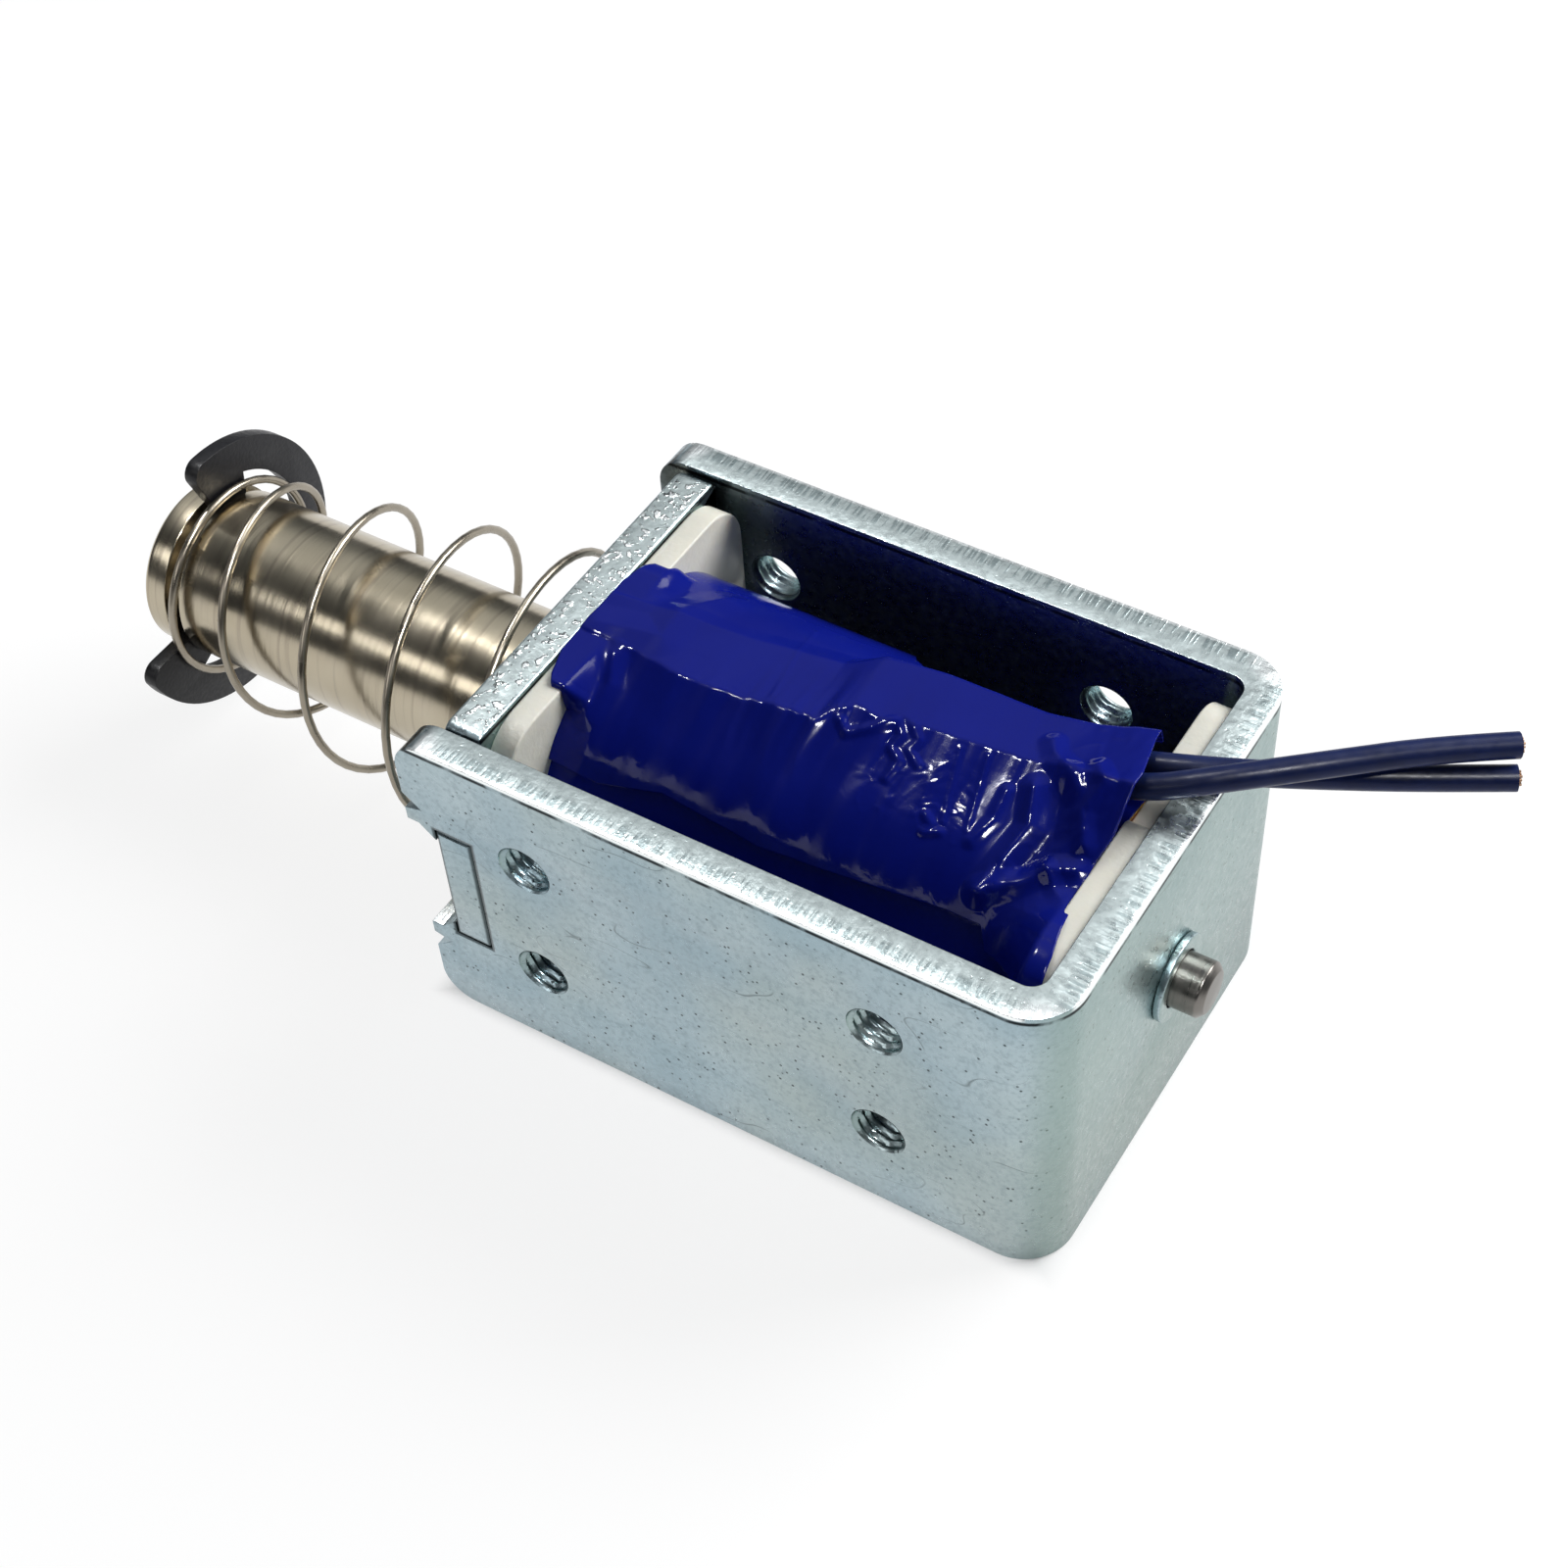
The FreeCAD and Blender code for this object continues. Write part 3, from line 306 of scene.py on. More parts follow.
def new_piece(name, mesh, finish, body, stands_for=(), sharp=35, bevel=0):
    """Puts a mesh into the scene as a piece that rides on a body; bevel rounds its edges, in millimetres."""
    mesh.name = name
    mesh.materials.clear()
    mesh.materials.append(finish)
    mesh.shade_smooth()
    piece = in_scene(name, mesh)
    if bevel:
        rounding = piece.modifiers.new("rounded edges", "BEVEL")
        rounding.width = bevel * MM
        rounding.segments = 3
        rounding.limit_method = "ANGLE"
        rounding.angle_limit = math.radians(sharp)
    else:
        mesh.set_sharp_from_angle(angle=math.radians(sharp))
    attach(piece, body)
    if stands_for:
        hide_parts(*stands_for)
    print(f"{name}: {len(mesh.vertices)} points, rides on {body}")
    return piece


def turned_mesh(outline, corner=0.1, steps=96):
    """Turns an outline of (place along X, radius) round the plunger's axis, with its corners rounded."""
    soft = []
    for index, here in enumerate(map(Vector, outline)):
        if outline[index][1] < 1e-6:
            soft.append(here)
            continue
        before, after = Vector(outline[index - 1]), Vector(outline[(index + 1) % len(outline)])
        cut = min(corner, (here - before).length * 0.45, (after - here).length * 0.45)
        start = here + (before - here).normalized() * cut
        end = here + (after - here).normalized() * cut
        for share in (0, 0.25, 0.5, 0.75, 1):
            soft.append(start.lerp(here, share).lerp(here.lerp(end, share), share))
    rings, points, faces = [], [], []
    for along, radius in soft:
        count = steps if radius > 1e-6 else 1
        rings.append([len(points) + step % count for step in range(steps)])
        for step in range(count):
            angle = 2 * math.pi * step / steps
            points.append((along, radius * math.cos(angle), AXIS_Z + radius * math.sin(angle)))
    solid = outline[0][1] < 1e-6
    for ring, following in zip(rings, rings[1:] if solid else rings[1:] + rings[:1]):
        for step in range(steps):
            after = (step + 1) % steps
            corners = list(dict.fromkeys([ring[step], ring[after], following[after], following[step]]))
            if len(corners) > 2:
                faces.append(corners)
    mesh = mesh_from(points, faces)
    work = bmesh.new()
    work.from_mesh(mesh)
    bmesh.ops.recalc_face_normals(work, faces=work.faces)
    work.to_mesh(mesh)
    work.free()
    return mesh


def cleaned_copy(node, change=None):
    """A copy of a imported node's mesh with its flat regions merged; change edits it first."""
    work = bmesh.new()
    work.from_mesh(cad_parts[node].data)
    bmesh.ops.remove_doubles(work, verts=work.verts, dist=0.002 * MM)
    if change:
        change(work)
    bmesh.ops.dissolve_limit(work, angle_limit=math.radians(0.6), verts=work.verts, edges=work.edges)
    mesh = bpy.data.meshes.new("mesh")
    work.to_mesh(mesh)
    work.free()
    return mesh


print("helpers are ready")

# %% [markdown]
# A cut lead shows a ring of insulation round a bundle of copper strands. Nineteen strands lie in two rings
# round one, and each is drawn thicker than a real one, because real ones are too fine to show.

# %% Strands at the cut ends
STRAND_R, STRAND_TIP_R = 0.085, 0.068
strand_metal = grain_finish("tinned_copper_strands", "#c9b6a4", "#a9764f", (0.25, 0.45), 0, (0.2, 2.0),
                            Metallic=1.0)


def strand_ends(name, line):
    """A bundle of short strands that stands a hair out of the end of a lead."""
    heading = (line[-1] - line[-2]).normalized()
    across = heading.cross(Vector((0, 0, 1))).normalized()
    up = across.cross(heading)
    turn = heading.to_track_quat("Z", "Y").to_matrix().to_4x4()
    work = bmesh.new()
    for ring, count in ((0, 1), (1, 6), (2, 12)):
        for index in range(count):
            angle = 2 * math.pi * index / count
            offset = (across * math.cos(angle) + up * math.sin(angle)) * (ring * STRAND_R * 2 * MM)
            bmesh.ops.create_cone(
                work, cap_ends=True, segments=10, radius1=STRAND_R * MM, radius2=STRAND_TIP_R * MM,
                depth=(0.3 + 0.05 * (index % 3)) * MM, matrix=Matrix.Translation(line[-1] + offset) @ turn)
    mesh = bpy.data.meshes.new("mesh")
    work.to_mesh(mesh)
    work.free()
    return new_piece(name, mesh, strand_metal, "frame")


for node, (lead, line, length) in leads.items():
    strand_ends(f"{node}_cut_end", line)

# %% [markdown]
# The frame is cold-rolled steel sheet with bright zinc plating. Zinc gives a cool, slightly blue-green
# grey, cloudy where the plating is thicker, with fine dark pits. Where the sheet was sheared, its edges
# have upright scores, and the rear wall's edge has a dark smear under the near lead. All of that could be
# painted on an image, but noises of real sizes do it from every side and need no unwrapping. The grains
# come first, each with its size in millimetres, its detail, its distortion and its stretch, and then the
# distances that the other patterns follow.

# %% Grains and distances of the zinc plated sheet
zinc, tree, shader, place = new_finish("bright_zinc_plated_steel", Metallic=1.0)
grain = {
    name: add(tree, "TexNoise", {"Scale": per_mm(size), "Detail": detail, "Distortion": distortion},
              {"Vector": add(tree, "Mapping", stretch, {"Vector": place})})
    for name, size, detail, distortion, stretch in (
        ("clouds", 6.0, 4.0, 0.0, {}),
        ("patches", 13.0, 2.0, 0.0, {}),
        ("crystals", 0.28, 2.0, 0.0, {}),
        ("scratches", 9.0, 1.0, 0.0, {"Scale": (1.0, 1.0, 2.6), "Rotation": (0.0, 0.6, 0.3)}),
        ("scratched", 4.0, 3.0, 0.0, {}),
        ("pitted", 1.3, 3.0, 0.0, {}),
        ("smears", 1.0, 4.0, 0.0, {}),
        ("gaps", 2.0, 4.0, 0.0, {}),
        ("torn", 0.45, 2.0, 0.5, {}),
        ("sheen", 0.5, 4.0, 0.0, {}),
        ("side_scores", 0.17, 1.0, 0.0, {"Scale": (1.0, 0.07, 0.0)}),
        ("rear_scores", 0.17, 1.0, 0.0, {"Scale": (0.07, 1.0, 0.0)}))}
spot = add(tree, "SeparateXYZ", links={"Vector": place})
facing = add(tree, "SeparateXYZ", links={"Vector": add(tree, "NewGeometry").outputs["Normal"]})
# how far a place lies inside the frame's outline, seen from above
inward = add(tree, "Math", {"operation": "MINIMUM"}, {
    0: add(tree, "Math", {**SUBTRACT, 0: HALF_WIDTH * MM},
           {1: add(tree, "Math", ABSOLUTE, {0: spot.outputs["Y"]})}),
    1: add(tree, "Math", {**SUBTRACT, 0: REAR * MM}, {1: spot.outputs["X"]})})
# how far a value lies from a middle one: a noise's, the height of the groove, the middle of a tab
PLATE_FRONT, PLATE_REAR = span("front_plate", "x")
off_scratch, off_groove, along_tab, up_tab = (
    add(tree, "Math", ABSOLUTE, {0: add(tree, "Math", {**SUBTRACT, 1: middle}, {0: source})})
    for source, middle in (
        (grain["scratches"], 0.5), (spot.outputs["Z"], (HEIGHT - 0.4) * MM),
        (spot.outputs["X"], (PLATE_FRONT + PLATE_REAR) / 2 * MM), (spot.outputs["Z"], AXIS_Z * MM)))
# how far it lies from the outline of a tab
off_tab = add(tree, "Math", ABSOLUTE, {0: add(tree, "Math", MAXIMUM, {
    0: add(tree, "Math", {**SUBTRACT, 1: (PLATE_REAR - PLATE_FRONT) / 2 * MM}, {0: along_tab}),
    1: add(tree, "Math", {**SUBTRACT, 1: TAB_HALF * MM}, {0: up_tab})})})
# and how far from the dark smear on the rear wall's edge and from the two bends
folded = add(tree, "VectorMath", {**MULTIPLY, 1: (1, 1, 0)},
             {0: add(tree, "VectorMath", ABSOLUTE, {0: place})})
off_smear, off_bend = (
    add(tree, "VectorMath", {"operation": "DISTANCE", 1: [value * MM for value in middle]},
        {0: source}).outputs["Value"]
    for source, middle in ((place, (REAR - 0.8, 1.6, HEIGHT)), (folded, (REAR - 1.0, HALF_WIDTH, 0))))
print(len(grain), "grains, with", len(tree.nodes), "nodes so far")

# %% [markdown]
# Steps over these values make masks. The soft ones stand in a table: each is 0 at its first value and 1 at
# its second, which are millimetres wherever a length is meant. A pattern stands where all of its masks do,
# so it is their product.

# %% Masks and patterns of the zinc plated sheet
scratch_line, groove_line, behind = (
    add(tree, "MapRange", {"From Min": zero, "From Max": one}, {"Value": source})
    for source, zero, one in (
        (off_scratch, 0.004, 0.0), (off_groove, 0.17 * MM, 0.07 * MM),
        (spot.outputs["X"], (WALL_FACE - 0.4) * MM, (WALL_FACE + 0.2) * MM)))
# sheared edges are scored across the sheet, so the scores turn with the bend
scored = add(tree, "Mix", links={"Factor": behind, "A": grain["side_scores"], "B": grain["rear_scores"]})
cells = add(tree, "TexVoronoi", {"Scale": per_mm(0.5)}, {"Vector": place})
mask = {
    name: add(tree, "MapRange", {**SOFT_STEP, "From Min": zero * unit, "From Max": one * unit},
              {"Value": source})
    for name, source, zero, one, unit in (
        ("clouds", grain["clouds"], 0.3, 0.7, 1),
        ("patches", grain["patches"], 0.42, 0.7, 1),
        ("crystals", grain["crystals"], 0.4, 0.8, 1),
        ("scratched", grain["scratched"], 0.5, 0.62, 1),
        ("cells", cells, 0.22, 0.1, 1),
        ("pitted", grain["pitted"], 0.44, 0.56, 1),
        ("edge", add(tree, "Math", ABSOLUTE, {0: facing.outputs["Z"]}), 0.9, 0.98, 1),
        ("shaded_rear_face", facing.outputs["X"], 0.3, 0.95, 1),
        ("low", spot.outputs["Z"], 0.7 * HEIGHT, 0.0, MM),
        ("scored", scored, 0.44, 0.58, 1),
        ("near_smear", off_smear, 2.4, 0.4, MM),
        ("smears", grain["smears"], 0.4, 0.5, 1),
        ("outermost", inward, 0.28, 0.1, MM),
        ("topmost", spot.outputs["Z"], HEIGHT - 0.3, HEIGHT - 0.18, MM),
        ("near_bend", off_bend, 2.1, 0.9, MM),
        ("gaps", grain["gaps"], 0.3, 0.52, 1),
        ("round_tab", off_tab, 0.28, 0.1, MM),
        ("outside", inward, 0.4, 0.2, MM),
        ("on_plate", inward, 2.4, 3.4, MM),
        ("torn", grain["torn"], 0.55, 0.66, 1))}
mask.update({
    "scratch_line": scratch_line, "groove_line": groove_line, "rearward": facing.outputs["X"],
    "inner_face": add(tree, "Math", {"operation": "COMPARE", 1: SHEET * MM, 2: 0.3 * MM}, {0: inward}),
    "outer_half": add(tree, "MapRange", {**SOFT_STEP, "From Min": 0.8 * MM, "From Max": 1.25 * MM,
                                         "To Min": 1.0, "To Max": 0.12}, {"Value": inward})})
for pattern, first, *others in (
        ("scratches", "scratch_line", "scratched"),
        ("pits", "cells", "pitted"),
        ("shaded_foot", "low", "rearward"),
        ("scores", "edge", "outer_half", "scored"),
        ("dark_smear", "edge", "near_smear", "smears"),
        ("rim", "outermost", "topmost"),
        ("bends", "edge", "near_bend"),
        ("groove", "groove_line", "gaps"),
        ("pressed_and_shaded", "round_tab", "outside"),
        ("glints", "edge", "on_plate", "torn")):
    mask[pattern] = mask[first]
    for other in others:
        mask[pattern] = add(tree, "Math", MULTIPLY, {0: mask[pattern], 1: mask[other]})
mask["pits"] = add(tree, "Math", {**SUBTRACT, "use_clamp": True}, {0: mask["pits"], 1: mask["inner_face"]})
mask["burnish_and_highlight"] = add(tree, "Math", MAXIMUM, {0: mask["rim"], 1: mask["bends"]})
print(len(mask), "masks and patterns")

# %% [markdown]
# The colours lie over one another like coats, each with a share and a pattern that says where it shows. The
# same patterns raise or sink the surface a little, by weights of a fiftieth of a millimetre.

# %% Colour and relief of the zinc plated sheet
colour = add(tree, "Mix", {**COLOURS, "A": linear("#9db2bb"), "B": linear("#b0c1c7")},
             {"Factor": mask["clouds"]})
for tint, share, pattern in (
        # the passivation over the zinc tints it in wide patches, from blue to a greenish beige
        ("#a9b1a4", 0.38, "patches"),
        ("#4d5658", 0.7, "scratches"),
        ("#7c8d94", 0.45, "crystals"),
        ("#2c3436", 0.9, "pits"),
        # painted shade makes the rear wall greener and darker, more so towards its foot, and darkens the
        # walls' inner faces
        ("#8ea39a", 0.6, "shaded_rear_face"),
        ("#5f7472", 0.45, "shaded_foot"),
        ("#3c4650", 0.7, "inner_face"),
        # sheared edges face up or down, and the outer half of each is scored
        ("#c6d1d1", 1.0, "edge"),
        ("#74868a", 0.55, "scores"),
        # a dark smear on the rear wall's top edge, under the near lead
        ("#242b2f", 0.75, "dark_smear"),
        # the shear rolled the rim over: a burnished line, whitened by painted highlight as the two bends are
        ("#fbffff", 1.0, "burnish_and_highlight"),
        # painted shadow: a thin dark line in the groove below the rim
        ("#23282b", 1.0, "groove"),
        # each tab of the plate is staked in its slot, with a pressed groove round it that painted shade
        # darkens
        ("#30383b", 0.85, "pressed_and_shaded"),
        # the plate's edge lies further in than any wall, and tore into facets that glint along its middle
        ("#fbffff", 1.0, "glints")):
    colour = add(tree, "Mix", {**COLOURS, "B": linear(tint)}, {
        "A": colour, "Factor": add(tree, "Math", {**MULTIPLY, 1: share}, {0: mask[pattern]})})
relief = grain["crystals"]
for pattern, weight in (("scores", 0.35), ("glints", 4.0), ("pits", -0.4), ("pressed_and_shaded", -3.0)):
    relief = add(tree, "Math", {"operation": "MULTIPLY_ADD", 1: weight}, {0: mask[pattern], 2: relief})
dress(tree, shader, Base_Color=colour,
      Roughness=add(tree, "MapRange", {"From Min": 0.3, "From Max": 0.7, "To Min": 0.24, "To Max": 0.38},
                    {"Value": grain["sheen"]}),
      Normal=add(tree, "Bump", {"Distance": 0.02 * MM}, {"Height": relief}))
print("made", zinc.name, "with", len(tree.nodes), "nodes")

# %% [markdown]
# The frame is one strip, bent twice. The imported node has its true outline, slots, dents and holes, so a
# copy of that mesh is cleaned of its triangles and a bevel rounds each edge, as deburring and plating do.
# Its holes are opened to the outer diameter of their thread, and the thread is made as its own surface.

# %% Frame and plate
THREAD_OUTER, THREAD_PITCH, THREAD_DEPTH, THREAD_MOUTH = 3.24, 0.5, 0.3, 0.3
HOLES = [(FRONT + along, AXIS_Z + up) for along in (7.6, 28.9) for up in (-4.35, 4.35)]


def open_holes(work):
    """Widens each tapped hole to the outer diameter of its thread."""
    for vertex in work.verts:
        for hole_x, hole_z in HOLES:
            away = Vector((vertex.co.x - hole_x * MM, 0, vertex.co.z - hole_z * MM))
            if 0.5 * MM < away.length < 1.75 * MM and abs(vertex.co.y) > 11 * MM:
                rim = away.normalized() * (THREAD_OUTER / 2 * MM)
                vertex.co.x, vertex.co.z = hole_x * MM + rim.x, hole_z * MM + rim.z


new_piece("bent_sheet_frame", cleaned_copy("u_frame", open_holes), zinc, "frame", ["u_frame"],
          bevel=0.22)
new_piece("punched_front_plate", cleaned_copy("front_plate"), zinc, "frame", ["front_plate"],
          bevel=0.2)

# %% [markdown]
# A tap cuts a helical groove, so the thread is one surface that winds from mouth to mouth: its radius
# rises and falls once per pitch, and it flares at both mouths. Rings stacked up would be simpler, but show
# no lead-in.

# %% Threads
def thread_mesh(around=40, along=28):
    """The threaded inner surfaces of all the holes."""
    points, faces = [], []
    for side in (-1, 1):
        for hole_x, hole_z in HOLES:
            grid = grid_faces(along, around, first=len(points), flip=True)
            faces += grid if side < 0 else [face[::-1] for face in grid]
            for row in range(along + 1):
                depth = SHEET * row / along
                mouth = max(0.0, 1 - min(depth, SHEET - depth) / THREAD_MOUTH)
                for step in range(around):
                    groove = abs((depth / THREAD_PITCH + step / around) % 1.0 * 2 - 1)
                    radius = THREAD_OUTER / 2 - THREAD_DEPTH * (1 - mouth) * (0.2 + 0.8 * groove)
                    angle = 2 * math.pi * step / around
                    points.append((hole_x + radius * math.cos(angle), side * (HALF_WIDTH - depth),
                                   hole_z + radius * math.sin(angle)))
    return mesh_from(points, faces)


new_piece("hole_threads", thread_mesh(), zinc, "frame", sharp=60)

# %% [markdown]
# The plunger is turned bar with a thin nickel plating. Nickel is warmer than zinc, and the lathe leaves
# rings of fine lines round it, which stretch each highlight along the axis. A noise squeezed along X makes
# the lines.

# %% Finish of the plunger
nickel, tree, shader, place = new_finish("turned_nickel_plated_steel", Metallic=1.0)
rings = add(tree, "TexNoise", {"Scale": per_mm(0.35), "Detail": 3.0},
            {"Vector": add(tree, "Mapping", {"Scale": (1.0, 0.03, 0.03)}, {"Vector": place})})
tarnish = add(tree, "TexNoise", {"Scale": per_mm(3.5), "Detail": 4.0}, {"Vector": place})
colour = add(tree, "Mix", {**COLOURS, "A": linear("#a99e87"), "B": linear("#c3baa7")}, {"Factor": tarnish})
colour = add(tree, "Mix", {**COLOURS, "B": linear("#94897a")}, {
    "A": colour,
    "Factor": add(tree, "MapRange", {**SOFT_STEP, "From Min": 0.5, "From Max": 0.75, "To Max": 0.5},
                  {"Value": rings})})
dress(
    tree, shader, Base_Color=colour,
    Roughness=add(tree, "MapRange", {"From Min": 0.3, "From Max": 0.7, "To Min": 0.17, "To Max": 0.27},
                  {"Value": tarnish}),
    Normal=add(tree, "Bump", {"Distance": 0.008 * MM}, {"Height": rings}))
print("made", nickel.name)

# %% [markdown]
# A turned part is an outline swept round its axis, which is what a lathe does. So the plunger and the push
# pin come from outlines, whose corners are rounded a little because no cut edge is perfectly sharp.

# %% Plunger
HEAD, NOSE_TIP = span("plunger", "x")
PLUNGER_R = span("plunger", "y")[1]
CLIP_FRONT, CLIP_REAR = span("e_clip", "x")
GROOVE_R, GROOVE_WIDTH = 4.0, 1.1
PIN_START, PIN_END = span("push_pin", "x")
PIN_R = span("push_pin", "y")[1]
HEAD_CHAMFER, PIN_CHAMFER = 0.3, 0.35
NOSE_R, NOSE_ANGLE = 2.3, math.radians(30)
NOSE_BASE = NOSE_TIP - (PLUNGER_R - NOSE_R) / math.tan(NOSE_ANGLE)
plunger_outline = [
    (HEAD, 0), (HEAD, PLUNGER_R - HEAD_CHAMFER), (HEAD + HEAD_CHAMFER, PLUNGER_R), (CLIP_FRONT, PLUNGER_R),
    (CLIP_FRONT, GROOVE_R), (CLIP_FRONT + GROOVE_WIDTH, GROOVE_R), (CLIP_FRONT + GROOVE_WIDTH, PLUNGER_R),
    (NOSE_BASE, PLUNGER_R), (NOSE_TIP, NOSE_R), (NOSE_TIP, PIN_R), (PIN_START, PIN_R), (PIN_START, 0),
]
new_piece("turned_plunger", turned_mesh(plunger_outline), nickel, "plunger", ["plunger"],
          sharp=50)
print(f"plunger {NOSE_TIP - HEAD:.1f} mm long, cone from {NOSE_BASE:.1f}")

# %% [markdown]
# The push pin is ground steel without plating: darker and browner, with a satin sheen and lines round it
# that are finer than the plunger's. Its chamfer catches the light as a thin ring.

# %% Push pin
pin_steel = grain_finish("ground_bare_steel", "#6b6864", "#8d8984", (0.26, 0.4), 0.01, (0.2, 2.0),
                         stretch=(1.0, 0.1, 0.1), Metallic=1.0)
pin_outline = [(PIN_START, 0), (PIN_START, PIN_R), (PIN_END - PIN_CHAMFER, PIN_R),
               (PIN_END, PIN_R - PIN_CHAMFER), (PIN_END, 0)]
new_piece("ground_push_pin", turned_mesh(pin_outline, corner=0.06), pin_steel, "plunger", ["push_pin"],
          sharp=50)

# %% [markdown]
# The core is plated like the frame, and its end is riveted over the rear wall: the edge spreads under the
# riveting tool and shines. So the copy of its mesh gets a wide bevel there.

# %% Fixed core
new_piece("riveted_core", cleaned_copy("fixed_core"), zinc, "frame", ["fixed_core"], bevel=0.14)

# %% [markdown]
# E-clips are stamped from spring steel and phosphated: nearly black, oiled, with a soft sheen and edges
# that the stamping rounds. Black paint would hide the grain, so a fine noise breaks the sheen up.

# %% E-clip
phosphate = grain_finish("black_phosphated_spring_steel", "#0b0b0e", "#1c1c22", (0.32, 0.5), 0.02,
                         (0.25, 4.0), IOR=1.5, Specular_IOR_Level=0.3)
new_piece("stamped_e_clip", cleaned_copy("e_clip"), phosphate, "plunger", ["e_clip"],
          bevel=0.16)

# %% [markdown]
# The return spring is hard drawn wire, a little darker than the plunger, with die lines along the wire. Its
# turns lie flat at both ends and open out between them while its radius grows, so its centre line is worked
# out turn by turn, and a ring of points is set square to that line at each step.

# %% Return spring
SPRING_WIRE, SPRING_PITCH = 0.5, 6.73
SPRING_SMALL, SPRING_LARGE = 6.12, 9.8
SPRING_ASIDE, SPRING_SAG, SPRING_GAP = 0.2, 0.4, 0.03
FLAT_TURNS, RAMP_TURNS, FIRST_TURN = 0.85, 0.4, -0.25
spring_wire = grain_finish("hard_drawn_spring_wire", "#857d70", "#aaa293", (0.24, 0.36), 0.006, (1.2, 2.0),
                           Metallic=1.0)


def soft_step(value):
    """An S-shaped step from 0 to 1."""
    value = min(max(value, 0.0), 1.0)
    return value * value * (3 - 2 * value)


def spring_line(steps_per_turn=48):
    """The centre line of the wire, in millimetres."""
    start, end = CLIP_REAR + SPRING_WIRE / 2 + SPRING_GAP, PLATE_FRONT - SPRING_WIRE / 2 - SPRING_GAP
    turns = 2 * FLAT_TURNS + RAMP_TURNS + (end - start) / SPRING_PITCH
    steps = math.ceil(turns * steps_per_turn)
    rises = []
    for step in range(steps):
        turn = (step + 0.5) / steps * turns
        rises.append(soft_step((turn - FLAT_TURNS) / RAMP_TURNS)
                     * soft_step((turns - FLAT_TURNS - turn) / RAMP_TURNS))
    line, done = [], 0.0
    for step in range(steps + 1):
        share = done / sum(rises)
        radius = SPRING_SMALL + (SPRING_LARGE - SPRING_SMALL) * share
        angle = 2 * math.pi * (FIRST_TURN + step / steps * turns)
        line.append(Vector((start + (end - start) * share, SPRING_ASIDE + radius * math.cos(angle),
                            AXIS_Z - SPRING_SAG + radius * math.sin(angle))))
        if step < steps:
            done += rises[step]
    return line


def wire_mesh(line, radius, sides=14):
    """A round wire along a line, with flat ends."""
    points = []
    for index, here in enumerate(line):
        heading = (line[min(index + 1, len(line) - 1)] - line[max(index - 1, 0)]).normalized()
        outward = Vector((0, here.y, here.z - AXIS_Z)).normalized()
        outward = (outward - heading * outward.dot(heading)).normalized()
        aside = heading.cross(outward)
        for side in range(sides):
            angle = 2 * math.pi * side / sides
            points.append(here + outward * (radius * math.cos(angle)) + aside * (radius * math.sin(angle)))
    ends = [list(range(sides))[::-1], list(range(len(points) - sides, len(points)))]
    return mesh_from(points, grid_faces(len(line) - 1, sides, flip=True) + ends)


spring = new_piece("coiled_return_spring", wire_mesh(spring_line(), SPRING_WIRE / 2), spring_wire, "frame",
                   ["return_spring"], sharp=60)
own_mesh(spring)

# %% [markdown]
# The bobbin is moulded nylon, a cream that light enters a little, so its edges glow instead of going dark.
# It has a faint orange-peel texture from its mould. A bevel rounds its corners as the mould does.

# %% Bobbin
nylon = grain_finish("moulded_cream_nylon", "#d5d2c4", "#e6e4d9", (0.38, 0.52), 0.02, (2.5, 3.0),
                     sheen=(0.3, 2.0), bumps=(0.3, 2.0), IOR=1.53, Subsurface_Weight=0.12,
                     Subsurface_Scale=0.0008, Subsurface_Radius=(1.0, 0.7, 0.4))
new_piece("moulded_bobbin", cleaned_copy("bobbin"), nylon, "frame", ["bobbin"], bevel=0.3)

# %% [markdown]
# The coil is wound with PVC electrical tape: saturated royal blue, glossy, and soft enough to hold every
# wrinkle. PVC's IOR is about 1.53. Its roughness runs from 0.07 to 0.2, because it turns matt in streaks
# where it is pulled. Fine crinkles break its highlights up, and the larger folds are in the mesh.

# %% Finish of the tape
tape_film, tree, shader, place = new_finish("glossy_blue_pvc_tape", IOR=1.53, Specular_IOR_Level=0.12)
shade = add(tree, "TexNoise", {"Scale": per_mm(5.0), "Detail": 2.0}, {"Vector": place})
crinkle = add(tree, "TexNoise", {"Scale": per_mm(0.9), "Detail": 4.0, "Distortion": 0.6}, {"Vector": place})
# where the tape was pulled it is matt, in streaks across the coil
pulled = add(tree, "TexNoise", {"Scale": per_mm(1.3), "Detail": 1.0},
             {"Vector": add(tree, "Mapping", {"Scale": (1.0, 0.12, 0.12)}, {"Vector": place})})
dress(
    tree, shader,
    Base_Color=add(tree, "Mix", {**COLOURS, "A": linear("#0a1472"), "B": linear("#0e1b83")},
                   {"Factor": shade}),
    Roughness=add(tree, "MapRange", {"From Min": 0.47, "From Max": 0.64, "To Min": 0.07, "To Max": 0.2},
                  {"Value": pulled}),
    Normal=add(tree, "Bump", {"Distance": 0.012 * MM}, {"Height": crinkle}))
print("made", tape_film.name)

# %% [markdown]
# The tape's wound layers make a cylinder that isn't quite true: each turn lies a little off the last, and
# the layers dip where the joints of the leads lie. A grid over the length and the angle takes both. The
# piece over the joints has its own grid later, because its edges are free.

# %% Wound tape
TROUGH_EDGES, TROUGH_R, TROUGH_START = (math.radians(48), math.radians(98)), 9.68, 0.1
TAPE_INNER_R = 9.66


